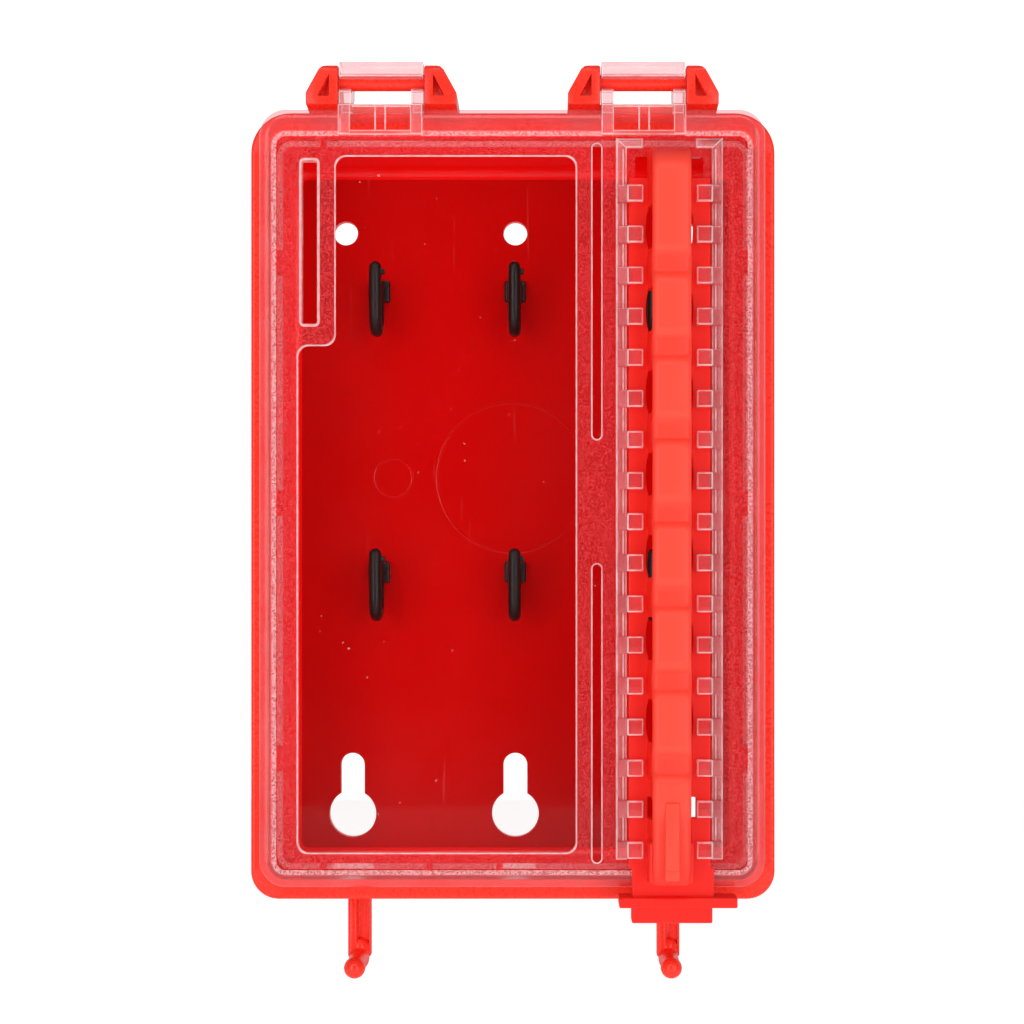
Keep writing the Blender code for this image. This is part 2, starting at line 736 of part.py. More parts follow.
def make_slider():
    slider = slider_plate()
    fuse(slider, prism_x("strip", strip_outline(), SLOT_X - ARCH_HALF, SLOT_X + ARCH_HALF))
    fuse(slider, *posts(), *end_pieces(), *pull_pieces())
    cut(slider, *arch_openings())
    plastic(slider, SLIDER_RED, 0.35)
    set_origin_of_all(slider, SLOT_X, -PLATE_FRONT, 0)


clear_scene()
make_base()
make_rods()
make_key_hooks()
make_hang_hooks()
make_lid()
make_slider()
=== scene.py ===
"""The finished looks of the wall-mounted group lockout box: detailed meshes and plastic materials for every
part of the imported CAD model, a pale studio and the camera.

The box hangs on a wall at Y = 0 and faces -Y, with X to the right and Z up. Lengths are millimetres, and MM
turns them into Blender's metres. Depths are distances in front of the wall, so a depth d lies at y = -d."""

import math

import bmesh
import bpy
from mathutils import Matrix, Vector


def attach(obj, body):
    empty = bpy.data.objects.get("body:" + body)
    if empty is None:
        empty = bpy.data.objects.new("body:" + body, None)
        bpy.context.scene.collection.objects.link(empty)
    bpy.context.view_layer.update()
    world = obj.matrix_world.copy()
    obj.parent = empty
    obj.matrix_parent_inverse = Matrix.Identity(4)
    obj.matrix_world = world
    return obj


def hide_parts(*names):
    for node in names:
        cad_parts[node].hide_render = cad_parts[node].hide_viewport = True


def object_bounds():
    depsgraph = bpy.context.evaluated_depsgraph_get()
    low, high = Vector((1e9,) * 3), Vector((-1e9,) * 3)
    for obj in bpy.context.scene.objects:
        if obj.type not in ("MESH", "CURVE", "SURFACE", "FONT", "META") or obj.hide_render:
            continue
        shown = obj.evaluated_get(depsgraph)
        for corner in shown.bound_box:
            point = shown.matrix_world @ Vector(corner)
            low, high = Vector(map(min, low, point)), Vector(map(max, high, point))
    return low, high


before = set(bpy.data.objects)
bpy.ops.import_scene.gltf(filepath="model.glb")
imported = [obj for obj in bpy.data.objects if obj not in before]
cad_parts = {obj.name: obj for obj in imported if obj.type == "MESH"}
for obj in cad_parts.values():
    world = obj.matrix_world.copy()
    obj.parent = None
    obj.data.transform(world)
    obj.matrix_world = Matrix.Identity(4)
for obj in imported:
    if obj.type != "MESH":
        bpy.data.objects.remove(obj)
cad_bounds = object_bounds()

MM = 0.001

# Base box.
BASE_HALF = 72.2
BASE_TOP = 109.7
BASE_BOTTOM = -107.0
RIM_RADIUS = 7.7
RIM_RADIUS_TOP = 11.0
BODY_RADIUS = 6.5
RIM_FRONT = 38.0
RIM_BACK = 35.0
BODY_INSET = 3.4
BODY_INSET_TOP = 4.6
WALL = 2.3
BACK_WALL = 2.5
SCREW_HOLES = ((-50.0, 83.5), (0.0, 83.5), (50.0, 83.5))
SCREW_HOLE_RADIUS = 3.5
KEYHOLES = (-48.0, 0.0, 48.0)
KEYHOLE_Z = -87.8
KEYHOLE_RADIUS = 6.9
KEYHOLE_SLOT = 3.5
KEYHOLE_SLOT_Z = -73.4
GATE_MARKS = ((-35.9, 11.35, 5.6), (-1.0, 11.35, 22.1))

# Hooks.
KEY_HOOK_PITCH = 40.0
KEY_HOOK_ROWS = (66.0, -16.5)
KEY_HOOKS = {
    f"key_hook_{3 * row + i + 2}": (KEY_HOOK_PITCH * i, z)
    for row, z in enumerate(KEY_HOOK_ROWS)
    for i in (-1, 0, 1)
}
HANG_HOOKS = {"hang_hook_left": -43.8, "hang_hook_right": 43.8}
HANG_HOOK_DEPTH = 21.5

# Hinges.
HINGES = {"hinge_rod_left": -35.6, "hinge_rod_right": 35.6}
HINGE_DEPTH = 41.0
HINGE_Z = 116.9
ROD_RADIUS = 2.2
LOOP_HALF = 11.4
LOOP_ARM = 3.3
LOOP_INNER = 2.5
LOOP_OUTER = 5.0
TAB_TOP = HINGE_Z - 6.9
EAR_INNER = 11.7
EAR_OUTER = 20.5
EAR_PLATE = 2.4
EAR_FOOT = BASE_TOP - BODY_INSET_TOP - 0.8
EAR_TOP = HINGE_Z + 4.0
EAR_SHOULDER = HINGE_Z - 4.6
EAR_FRONT_LOW = HINGE_Z - 6.9

# Lid.
LID_HALF = 68.7
LID_TOP = 108.6
LID_BOTTOM = -102.5
LID_RADIUS = 7.3
LID_FRONT = 47.5
LID_BACK = 38.3
LID_WALL = 2.0
LID_ROUNDING = 3.0
RING_HALF = 65.1
RING_TOP = 102.2
RING_BOTTOM = -98.9
RING_THICKNESS = 1.6
RING_BACK = 36.0
SLOT_X = 42.4
SLOT_HALF = 9.2
SLOT_TOP = 95.2
SLOT_BOTTOM = -90.0
KEY_SLOT = (-56.7, -52.7, 50.1, 94.1)
WINDOW = (-57.95, 17.4, -92.9, 95.4)
WINDOW_NOTCH = (-47.8, 44.25)
WINDOW_RADIUS = 3.0
BEAD_X = 22.9
BEAD_HALF = 1.6
BEADS = ((18.5, 98.9), (-95.7, -14.5))
RAIL_INNER = 11.4
RAIL_OUTER = 14.4
RAIL_FRONT = LID_FRONT + 1.6
RAIL_TOP = 99.8
RAIL_BOTTOM = -94.4
TEETH = 17
TOOTH_PITCH = 11.0
TOOTH_TOP_Z = 84.5
TOOTH_HALF = 2.35
TOOTH_TIP = 7.1
TOOTH_OUTER = 14.0
LIP_BACK = 50.1
LIP_FRONT = 51.9

# Slider.
PLATE_HALF = 11.0
PLATE_BACK = 47.8
PLATE_FRONT = 49.8
PLATE_TOP = 89.0
PLATE_STEP = -96.5
ARCHES = 7
ARCH_PITCH = 22.0
ARCH_TOP_Z = 75.25
LAST_CREST = ARCH_TOP_Z - ARCHES * ARCH_PITCH
ARCH_HALF = 5.1
POST_HALF = 6.0
CREST = 61.3
VALLEY = 59.6
NOSE_TIP = 96.9
END_BOTTOM = -100.0
OPENING_HALF_Z = 5.7
OPENING_HALF_X = 6.35
OPENING_ROOF = CREST - 3.4


# ---------------------------------------------------------------- mesh helpers

SHARP_ANGLE = 35
LARGE_FACE = 60.0

def arc(cx, cy, radius, start, end, steps):
    """Points on a circle from start to end, in degrees."""
    angles = [math.radians(start + (end - start) * i / steps) for i in range(steps + 1)]
    return [(cx + radius * math.cos(a), cy + radius * math.sin(a)) for a in angles]


def circle(cx, cy, radius, count):
    return arc(cx, cy, radius, 0, 360, count)[:-1]


def rounded(left, right, low, high, radius, steps=10, wider=0.0):
    """The outline of a rectangle with round corners; wider is added to the radius of the upper two."""
    upper = radius + wider
    return (
        arc(right - radius, low + radius, radius, -90, 0, steps)
        + arc(right - upper, high - upper, upper, 0, 90, steps)
        + arc(left + upper, high - upper, upper, 90, 180, steps)
        + arc(left + radius, low + radius, radius, 180, 270, steps)
    )


def loft(rings, slot=0, closed=False, slots=None):
    """A mesh through rings of points with equal counts. Closed joins the last ring to the first one;
    otherwise both ends are filled. slots, if given, is the material slot of each stretch between rings."""
    build = bmesh.new()
    loops = [[build.verts.new(Vector(p) * MM) for p in ring] for ring in rings]
    pairs = list(zip(loops, loops[1:]))
    if closed:
        pairs.append((loops[-1], loops[0]))
    for k, (lower, upper) in enumerate(pairs):
        for i in range(len(lower)):
            j = (i + 1) % len(lower)
            face = build.faces.new((lower[i], lower[j], upper[j], upper[i]))
            face.material_index = slots[k] if slots else slot
    if not closed:
        for end in (loops[0], loops[-1]):
            build.faces.new(end).material_index = slot
    bmesh.ops.recalc_face_normals(build, faces=build.faces)
    return build


def prism_x(outline, left, right, slot=0):
    """An outline of (depth, z) points drawn out along X."""
    return loft([[(x, -d, z) for d, z in outline] for x in (left, right)], slot)


def prism_y(outline, back, front, slot=0):
    """An outline of (x, z) points drawn out between two depths."""
    return loft([[(x, -d, z) for x, z in outline] for d in (back, front)], slot)


def prism_z(outline, low, high, slot=0):
    """An outline of (x, depth) points drawn out along Z."""
    return loft([[(x, -d, z) for x, d in outline] for z in (low, high)], slot)


def block(left, right, back, front, low, high, slot=0):
    return prism_y([(left, low), (right, low), (right, high), (left, high)], back, front, slot)


def soften(build, width, segments=2, slot=-1, chosen=None, angle=30):
    """Rounds the sharp edges of a mesh, or only those for which chosen says so."""
    edges = []
    for edge in build.edges:
        if len(edge.link_faces) != 2 or edge.calc_face_angle(0) < math.radians(angle):
            continue
        if chosen is None or chosen((edge.verts[0].co + edge.verts[1].co) / 2 / MM, edge):
            edges.append(edge)
    bmesh.ops.bevel(
        build,
        geom=edges,
        offset=width * MM,
        offset_type="OFFSET",
        segments=segments,
        profile=0.5,
        affect="EDGES",
        clamp_overlap=True,
        material=slot,
    )
    return build


def tube(path, radii, sides=24):
    """A round bar along a path of (depth, z) points at x = 0, with a radius at each point."""
    points = [Vector((0, -d, z)) for d, z in path]
    rings = []
    for i, point in enumerate(points):
        before, after = points[max(i - 1, 0)], points[min(i + 1, len(points) - 1)]
        along = (after - before).normalized()
        across = Vector((0, -along.z, along.y))
        ring = []
        for k in range(sides):
            turn = 2 * math.pi * k / sides
            outward = Vector((1, 0, 0)) * math.cos(turn) + across * math.sin(turn)
            ring.append(tuple(point + outward * radii[i]))
        rings.append(ring)
    return loft(rings)


def shifted(build, x=0.0, z=0.0):
    bmesh.ops.translate(build, verts=build.verts, vec=Vector((x, 0.0, z)) * MM)
    return build


def gather(name, builds):
    """One object from several meshes."""
    mesh = bpy.data.meshes.new(name)
    whole = bmesh.new()
    for build in builds:
        build.to_mesh(mesh)
        build.free()
        whole.from_mesh(mesh)
    whole.to_mesh(mesh)
    whole.free()
    obj = bpy.data.objects.new(name, mesh)
    bpy.context.scene.collection.objects.link(obj)
    return obj


def carve(target, builds, operation):
    """Unites the target with other meshes, or cuts them away, and keeps the result as its plain mesh."""
    other = gather("helper", builds)
    for material in target.data.materials:
        other.data.materials.append(material)
    modifier = target.modifiers.new("carve", "BOOLEAN")
    modifier.operation = operation
    modifier.solver = "EXACT"
    modifier.use_self = operation == "UNION"
    modifier.material_mode = "INDEX"
    modifier.object = other
    graph = bpy.context.evaluated_depsgraph_get()
    result = bpy.data.meshes.new_from_object(target.evaluated_get(graph))
    target.modifiers.clear()
    target.data = result
    bpy.data.objects.remove(other, do_unlink=True)


def finish_mesh(obj, materials):
    """Tidies the mesh, shades it smooth up to an angle but keeps its large faces flat, and gives it its
    materials."""
    build = bmesh.new()
    build.from_mesh(obj.data)
    bmesh.ops.remove_doubles(build, verts=build.verts, dist=0.00001)
    bmesh.ops.dissolve_degenerate(build, edges=build.edges, dist=0.00001)
    build.to_mesh(obj.data)
    build.free()
    obj.data.shade_smooth()
    obj.data.set_sharp_from_angle(angle=math.radians(SHARP_ANGLE))
    for polygon in obj.data.polygons:
        polygon.use_smooth = polygon.area < LARGE_FACE * MM * MM
    slots = [polygon.material_index for polygon in obj.data.polygons]
    obj.data.materials.clear()
    for material in materials:
        obj.data.materials.append(material)
    obj.data.polygons.foreach_set("material_index", slots)
    obj.data.update()


def stand_for(piece, node, body):
    """Hangs a finished piece under the empty of the body it moves with, and hides the CAD node that it stands
    for.
    """
    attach(piece, body)
    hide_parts(node)


# ---------------------------------------------------------------- materials

PALE_GREY = (0.93, 0.93, 0.94)
NEARLY_CLEAR = (1.0, 0.98, 0.98)
# PINK_TINT, FAINT_PINK_TINT and the rose, coral, blush, shell and petal haze colours are painted red light:
# the red that the clear plastic picks up from the box behind it. Petal is the colour of the painted edge
# highlight.
PINK_TINT = (1.0, 0.72, 0.73)
FAINT_PINK_TINT = (1.0, 0.86, 0.87)
ROSE = (1.0, 0.06, 0.07)
CORAL = (0.98, 0.36, 0.38)
BLUSH = (0.98, 0.45, 0.47)
SHELL = (1.0, 0.58, 0.60)
PETAL = (1.0, 0.72, 0.73)

def new_material(name):
    material = bpy.data.materials.new(name)
    material.use_nodes = True
    tree = material.node_tree
    tree.nodes.clear()
    output = tree.nodes.new("ShaderNodeOutputMaterial")
    return material, tree, output


def noise(tree, scale, detail=3.0, roughness=0.55, stretch=None):
    """A noise texture in object space; scale counts its features per metre."""
    place = tree.nodes.new("ShaderNodeTexCoord")
    texture = tree.nodes.new("ShaderNodeTexNoise")
    texture.inputs["Scale"].default_value = scale
    texture.inputs["Detail"].default_value = detail
    texture.inputs["Roughness"].default_value = roughness
    if stretch is None:
        tree.links.new(place.outputs["Object"], texture.inputs["Vector"])
    else:
        mapping = tree.nodes.new("ShaderNodeMapping")
        mapping.inputs["Scale"].default_value = stretch
        tree.links.new(place.outputs["Object"], mapping.inputs["Vector"])
        tree.links.new(mapping.outputs["Vector"], texture.inputs["Vector"])
    return texture.outputs["Fac"]


def remap(tree, value, low, high, to_low, to_high):
    node = tree.nodes.new("ShaderNodeMapRange")
    node.inputs["From Min"].default_value = low
    node.inputs["From Max"].default_value = high
    node.inputs["To Min"].default_value = to_low
    node.inputs["To Max"].default_value = to_high
    tree.links.new(value, node.inputs["Value"])
    return node.outputs["Result"]


def maths(tree, operation, first, second):
    node = tree.nodes.new("ShaderNodeMath")
    node.operation = operation
    for socket, value in zip(node.inputs, (first, second)):
        if isinstance(value, (int, float)):
            socket.default_value = value
        else:
            tree.links.new(value, socket)
    return node.outputs["Value"]


def colour_between(tree, value, first, second):
    ramp = tree.nodes.new("ShaderNodeValToRGB")
    ramp.color_ramp.elements[0].color = (*first, 1)
    ramp.color_ramp.elements[1].color = (*second, 1)
    tree.links.new(value, ramp.inputs["Fac"])
    return ramp.outputs["Color"]


def rounded_normal(tree, edge_radius, grain, scale):
    """A normal with softly rounded edges and a fine moulded grain."""
    bevel = tree.nodes.new("ShaderNodeBevel")
    bevel.samples = 4
    bevel.inputs["Radius"].default_value = edge_radius * MM
    bump = tree.nodes.new("ShaderNodeBump")
    bump.inputs["Strength"].default_value = grain
    bump.inputs["Distance"].default_value = 0.0001
    tree.links.new(noise(tree, scale, 2.0), bump.inputs["Height"])
    tree.links.new(bevel.outputs["Normal"], bump.inputs["Normal"])
    return bump.outputs["Normal"]


def moulded(name, dark, light, roughness, edge_radius, grain):
    """Moulded plastic: faint flow marks in its colour and gloss, a fine grain and rounded edges."""
    material, tree, output = new_material(name)
    shader = tree.nodes.new("ShaderNodeBsdfPrincipled")
    flow = noise(tree, 22.0, 4.0, 0.6)
    speck = noise(tree, 900.0, 2.0, 0.5)
    colour = colour_between(tree, remap(tree, flow, 0.3, 0.7, 0, 1), dark, light)
    tree.links.new(colour, shader.inputs["Base Color"])
    slow, fine = (remap(tree, pattern, 0.3, 0.7, -0.03, 0.03) for pattern in (flow, speck))
    varied = maths(tree, "ADD", slow, fine)
    tree.links.new(maths(tree, "ADD", varied, roughness), shader.inputs["Roughness"])
    tree.links.new(rounded_normal(tree, edge_radius, grain, 1400.0), shader.inputs["Normal"])
    shader.inputs["Specular IOR Level"].default_value = 0.3
    tree.links.new(shader.outputs["BSDF"], output.inputs["Surface"])
    return material


def paint_shade_by_depth(material, low, high):
    """Paints shade into a moulded material by depth: its dark colour at the depth low, further back, going to
    its light colour at the depth high, nearer the front.
    """
    tree = material.node_tree
    place = tree.nodes.new("ShaderNodeTexCoord")
    split = tree.nodes.new("ShaderNodeSeparateXYZ")
    tree.links.new(place.outputs["Object"], split.inputs["Vector"])
    share = remap(tree, split.outputs["Y"], -low * MM, -high * MM, 0.0, 1.0)
    ramp = next(node for node in tree.nodes if node.type == "VALTORGB")
    tree.links.new(share, ramp.inputs["Fac"])
    return material


def add_painted_glow(material, colour, strength):
    """Paints a glow into the material as emission, standing for the light that comes through the thin walls
    from outside.
    """
    shader = next(node for node in material.node_tree.nodes if node.type == "BSDF_PRINCIPLED")
    shader.inputs["Emission Color"].default_value = (*colour, 1)
    shader.inputs["Emission Strength"].default_value = strength
    return material


def see_through(name, haze, roughness, haze_colour=PALE_GREY, tint=NEARLY_CLEAR):
    """Clear plastic that keeps light straight: a haze of scattered light over what lies behind, and a gloss
    on its outer sides that grows towards grazing angles. haze(tree) gives the haze's pattern, and None means
    that there is no haze."""
    material, tree, output = new_material(name)
    # A red or pink haze_colour, and a pink tint, paint into the plastic the red light that it picks up from
    # the box behind it.
    clear = tree.nodes.new("ShaderNodeBsdfTransparent")
    clear.inputs["Color"].default_value = (*tint, 1)
    mirror = tree.nodes.new("ShaderNodeBsdfGlossy")
    mirror.inputs["Roughness"].default_value = roughness
    fresnel = tree.nodes.new("ShaderNodeFresnel")
    fresnel.inputs["IOR"].default_value = 1.45
    side = tree.nodes.new("ShaderNodeNewGeometry")
    outside = maths(tree, "SUBTRACT", 1.0, side.outputs["Backfacing"])
    body = tree.nodes.new("ShaderNodeBsdfPrincipled")
    body.inputs["Base Color"].default_value = (*haze_colour, 1)
    body.inputs["Roughness"].default_value = 0.35
    sheet = tree.nodes.new("ShaderNodeMixShader")
    tree.links.new(maths(tree, "MULTIPLY", fresnel.outputs["Fac"], outside), sheet.inputs["Fac"])
    tree.links.new(clear.outputs["BSDF"], sheet.inputs[1])
    tree.links.new(mirror.outputs["BSDF"], sheet.inputs[2])
    whole = tree.nodes.new("ShaderNodeMixShader")
    whole.inputs["Fac"].default_value = 0.0
    if haze is not None:
        tree.links.new(haze(tree), whole.inputs["Fac"])
    tree.links.new(sheet.outputs["Shader"], whole.inputs[1])
    tree.links.new(body.outputs["BSDF"], whole.inputs[2])
    tree.links.new(whole.outputs["Shader"], output.inputs["Surface"])
    return material


def frost_haze(tree):
    """Spark-eroded texture: fine bright grains over slow cloudy change."""
    grain = remap(tree, noise(tree, 2600.0, 1.0, 0.6), 0.42, 0.64, 0.05, 0.42)
    cloud = remap(tree, noise(tree, 45.0, 3.0, 0.6), 0.35, 0.7, 0.0, 0.05)
    return maths(tree, "ADD", grain, cloud)


def window_haze(tree):
    """Polished plastic with a few dust specks, fine scratches and a very faint cloud."""
    speck = remap(tree, noise(tree, 650.0, 1.0, 0.5), 0.775, 0.80, 0.0, 0.22)
    scratch = remap(tree, noise(tree, 60.0, 2.0, 0.5, (14.0, 1.0, 0.6)), 0.71, 0.75, 0.0, 0.015)
    cloud = remap(tree, noise(tree, 16.0, 2.0, 0.5), 0.45, 0.75, 0.0, 0.002)
    return maths(tree, "ADD", maths(tree, "ADD", speck, scratch), cloud)


def painted_edge_highlight(tree):
    """Painted highlight on the rounded edges, standing for the studio's light that they catch, uneven along
    their length.
    """
    return remap(tree, noise(tree, 400.0, 2.0, 0.6), 0.3, 0.7, 0.40, 0.68)


def painted_ring_light(tree):
    """Painted light on the band where the locating ring meets the face: a pale, glittering grain."""
    return remap(tree, noise(tree, 2600.0, 1.0, 0.6), 0.40, 0.62, 0.20, 0.58)


def milky_haze(tree):
    """Smooth, slightly milky plastic, as on the rails and hinges; its coral colour and pink tint are painted
    red light picked up from the box.
    """
    return remap(tree, noise(tree, 120.0, 2.0, 0.5), 0.3, 0.7, 0.20, 0.30)


def border_haze(tree):
    """The lid's smooth border, nearly clear; its blush haze and pink tint are painted red light that the
    border carries from the box.
    """
    return remap(tree, noise(tree, 90.0, 2.0, 0.5), 0.3, 0.7, 0.06, 0.11)


MATERIALS = {
    "base": moulded("red_box", (0.86, 0.026, 0.012), (0.90, 0.032, 0.016), 0.28, 0.3, 0.05),
    # The back wall and the inside walls below are darker copies of the box's red: painted shade inside the
    # box.
    "back_wall": moulded("red_back_wall_painted_shade", (0.52, 0.0006, 0.0007), (0.56, 0.0009, 0.0010), 0.14, 0.3, 0.02),
    # The inside walls also carry a painted glow as emission.
    "side_walls": add_painted_glow(
        moulded("red_side_walls_painted_shade_and_glow", (0.78, 0.0008, 0.0009), (0.82, 0.0012, 0.0013), 0.2, 0.3, 0.03),
        (1.0, 0.005, 0.005),
        0.1,
    ),
    # The slider's colour is painted shade by depth: darker on the plate and in the valleys, lighter on the
    # crests.
    "slider": paint_shade_by_depth(
        moulded("red_slider_painted_depth_shade", (0.86, 0.010, 0.004), (0.96, 0.058, 0.032), 0.42, 0.35, 0.05),
        57.0,
        60.8,
    ),
    "black": moulded("black_hooks", (0.008, 0.005, 0.0045), (0.014, 0.009, 0.008), 0.34, 0.35, 0.08),
    # The red and pink hazes and tints of the clear plastic below are painted red light from the box behind
    # it; the edge haze is a painted highlight and the ring haze a painted band of light.
    "frost": see_through("clear_frosted_painted_red_light", frost_haze, 0.25, ROSE),
    "window": see_through("clear_window", window_haze, 0.04),
    "edge": see_through("clear_edge_painted_highlight", painted_edge_highlight, 0.15, PETAL),
    "inner": see_through("clear_inner", None, 0.10),
    "ring": see_through("clear_ring_painted_light", painted_ring_light, 0.30, SHELL),
    "milky": see_through("clear_milky_painted_red_light", milky_haze, 0.20, CORAL, FAINT_PINK_TINT),
    "border": see_through("clear_border_painted_red_light", border_haze, 0.12, BLUSH, PINK_TINT),
}
FROST, CLEAR, EDGE, INNER, RING, MILKY, BORDER = range(7)
LID_MATERIALS = [MATERIALS[name] for name in ("frost", "window", "edge", "inner", "ring", "milky", "border")]


# ---------------------------------------------------------------- base box


def base_ring(inset, inset_top, depth, radius, wider=0.0):
    left, right, low, high = -BASE_HALF + inset, BASE_HALF - inset, BASE_BOTTOM + inset, BASE_TOP - inset_top
    return [(x, -depth, z) for x, z in rounded(left, right, low, high, radius, 14, wider)]


def base_shell():
    """Back face, body walls, the rim with its rounded front edge, then down the inside to the back wall."""
    body, top, corner, wider = BODY_INSET, BODY_INSET_TOP, BODY_RADIUS, RIM_RADIUS_TOP - RIM_RADIUS
    inner, inner_top = body + WALL, top + WALL
    rings = [base_ring(body + 1.2, top + 1.2, 0.0, corner - 1.2)]
    for angle in (30, 60, 90):
        inset = 1.2 * (1 - math.sin(math.radians(angle)))
        depth = 1.2 * (1 - math.cos(math.radians(angle)))
        rings.append(base_ring(body + inset, top + inset, depth, corner - inset))
    rings.append(base_ring(body, top, RIM_BACK - 0.6, corner))
    rings.append(base_ring(body - 0.6, top - 0.6, RIM_BACK, corner + 0.4))
    rings.append(base_ring(0.3, 0.3, RIM_BACK, RIM_RADIUS - 0.3, wider))
    rings.append(base_ring(0.0, 0.0, RIM_BACK + 0.3, RIM_RADIUS, wider))
    for angle in (0, 22, 45, 68, 90):
        inset = 1.0 * (1 - math.cos(math.radians(angle)))
        depth = RIM_FRONT - 1.0 + math.sin(math.radians(angle))
        rings.append(base_ring(inset, inset, depth, RIM_RADIUS - inset, wider))
    rings.append(base_ring(inner - 0.4, inner_top - 0.4, RIM_FRONT, corner - 1.3))
    outside = len(rings) - 1
    rings.append(base_ring(inner, inner_top, RIM_FRONT - 0.4, corner - 1.5))
    deep, deep_top, low = inner + 0.5, inner_top + 0.5, BACK_WALL
    for angle in (0, 18, 36, 54, 72, 90):
        inset = 3.0 * (1 - math.cos(math.radians(angle)))
        depth = low + 3.0 * (1 - math.sin(math.radians(angle)))
        rings.append(base_ring(deep + inset, deep_top + inset, depth, max(corner - 1.5 - inset, 1.2)))
    # Inside the box the walls take a darker copy of the red with a painted glow, and the back wall its own
    # darker copy: painted shade.
    slots = [0 if k < outside else 2 for k in range(len(rings) - 1)]
    build = loft(rings, 0, slots=slots)
    for face in build.faces:
        if len(face.verts) > 4 and abs(face.calc_center_median().y + BACK_WALL * MM) < 0.0005:
            face.material_index = 1
    return build


def gate_mark(x, z, radius):
    """A faint round moulding mark on the back wall: a low ridge with rounded shoulders."""
    profile = ((radius + 0.35, -0.5), (radius + 0.35, 0.03), (radius + 0.1, 0.08), (radius - 0.1, 0.08))
    profile += ((radius - 0.35, 0.03), (radius - 0.35, -0.5))
    rings = []
    for r, rise in profile:
        rings.append([(px, -BACK_WALL - rise, pz) for px, pz in circle(x, z, r, 72)])
    return loft(rings, 1, closed=True)


def ear_outline():
    """Side view of a hinge ear: a foot on the box's top wall and a head that carries the rod."""
    front = HINGE_DEPTH + 4.3
    points = [(RIM_FRONT - 0.2, EAR_FOOT), (24.0, EAR_FOOT), (24.0, EAR_FOOT + 3.0), (34.5, EAR_TOP - 0.8)]
    points += arc(36.6, EAR_TOP - 1.2, 1.2, 135, 90, 3)
    points += arc(front - 1.6, EAR_TOP - 1.6, 1.6, 90, 0, 5)
    return points + [(front, EAR_FRONT_LOW), (RIM_FRONT - 0.2, EAR_FRONT_LOW - 0.7)]


def ear(centre, side):
    left, right = sorted((centre + side * EAR_INNER, centre + side * EAR_OUTER))
    return soften(prism_x(ear_outline(), left, right), 0.45, 2)


def ear_web(centre):
    """The plate that joins a pair of ears behind the lid's hinge loop."""
    half = EAR_INNER + 1.0
    return block(centre - half, centre + half, 33.5, 36.0, EAR_FOOT, HINGE_Z - 4.5)


def ear_cutters(centre, side):
    """What comes off an ear: its outer top corner, and the three-cornered recess in its front."""
    outer = centre + side * EAR_OUTER
    inner = centre + side * (EAR_INNER + EAR_PLATE)
    slope = [
        (outer + side, EAR_SHOULDER - 1.0),
        (outer - side * 3.6, EAR_TOP - 1.3),
        (outer - side * 4.6, EAR_TOP - 0.4),
        (outer - side * 5.8, EAR_TOP),
        (outer - side * 6.0, EAR_TOP + 2.2),
        (outer + side * 3.0, EAR_TOP + 2.2),
    ]
    recess = [(inner, EAR_SHOULDER), (outer - side * 3.2, EAR_SHOULDER), (inner, EAR_SHOULDER + 6.0)]
    return [prism_y(slope, 20, 50)], [soften(prism_y(recess, HINGE_DEPTH + 1.0, 50), 0.35, 2)]


def keyhole_outline(x):
    half_angle = math.degrees(math.asin(KEYHOLE_SLOT / KEYHOLE_RADIUS))
    round_part = arc(x, KEYHOLE_Z, KEYHOLE_RADIUS, 90 + half_angle, 450 - half_angle, 48)
    return round_part + arc(x, KEYHOLE_SLOT_Z, KEYHOLE_SLOT, 0, 180, 20)


def make_base():
    base = gather("box_shell", [base_shell()])
    materials = [MATERIALS[name] for name in ("base", "back_wall", "side_walls")]
    for material in materials:
        base.data.materials.append(material)
    ears, slopes, recesses = [], [], []
    for centre in HINGES.values():
        ears.append(ear_web(centre))
        for side in (-1, 1):
            ears.append(ear(centre, side))
            slope, recess = ear_cutters(centre, side)
            slopes += slope
            recesses += recess
    carve(base, ears, "UNION")
    carve(base, slopes, "DIFFERENCE")
    carve(base, recesses, "DIFFERENCE")
    socket = EAR_INNER + 1.6
    bores = [
        prism_x(circle(HINGE_DEPTH, HINGE_Z, ROD_RADIUS + 0.05, 32), x - socket, x + socket)
        for x in HINGES.values()
    ]
    carve(base, bores, "DIFFERENCE")
    carve(base, [gate_mark(*mark) for mark in GATE_MARKS], "UNION")
    holes = [prism_y(circle(x, z, SCREW_HOLE_RADIUS, 40), -1, BACK_WALL + 1) for x, z in SCREW_HOLES]
    holes += [prism_y(keyhole_outline(x), -1, BACK_WALL + 1) for x in KEYHOLES]
    holes += [block(x - 2.3, x + 2.3, -1, BACK_WALL + 1, z - 2.3, z + 2.3) for x, z in KEY_HOOKS.values()]
    carve(base, holes, "DIFFERENCE")
    bottom = BASE_BOTTOM + BODY_INSET
    pegs = [
        prism_z(circle(x, HANG_HOOK_DEPTH, 2.3, 32), bottom - 1, bottom + WALL + 1.5)
        for x in HANG_HOOKS.values()
    ]
    carve(base, pegs, "DIFFERENCE")
    finish_mesh(base, materials)
    stand_for(base, "base_box", "box")


def make_rods():
    """The rods end in small domes inside the ears' sockets."""
    reach = EAR_INNER + 1.4
    for node, centre in HINGES.items():
        rings = []
        for x, radius in (
            (-reach, ROD_RADIUS - 0.5),
            (-reach + 0.5, ROD_RADIUS),
            (-LOOP_HALF + LOOP_ARM, ROD_RADIUS),
            (0.0, ROD_RADIUS),
            (LOOP_HALF - LOOP_ARM, ROD_RADIUS),
            (reach - 0.5, ROD_RADIUS),
            (reach, ROD_RADIUS - 0.5),
        ):
            rings.append([(centre + x, -d, z) for d, z in circle(HINGE_DEPTH, HINGE_Z, radius, 32)])
        rod = gather(node.replace("hinge_rod", "rod"), [loft(rings)])
        finish_mesh(rod, [MATERIALS["base"]])
        stand_for(rod, node, "box")


# ---------------------------------------------------------------- hooks


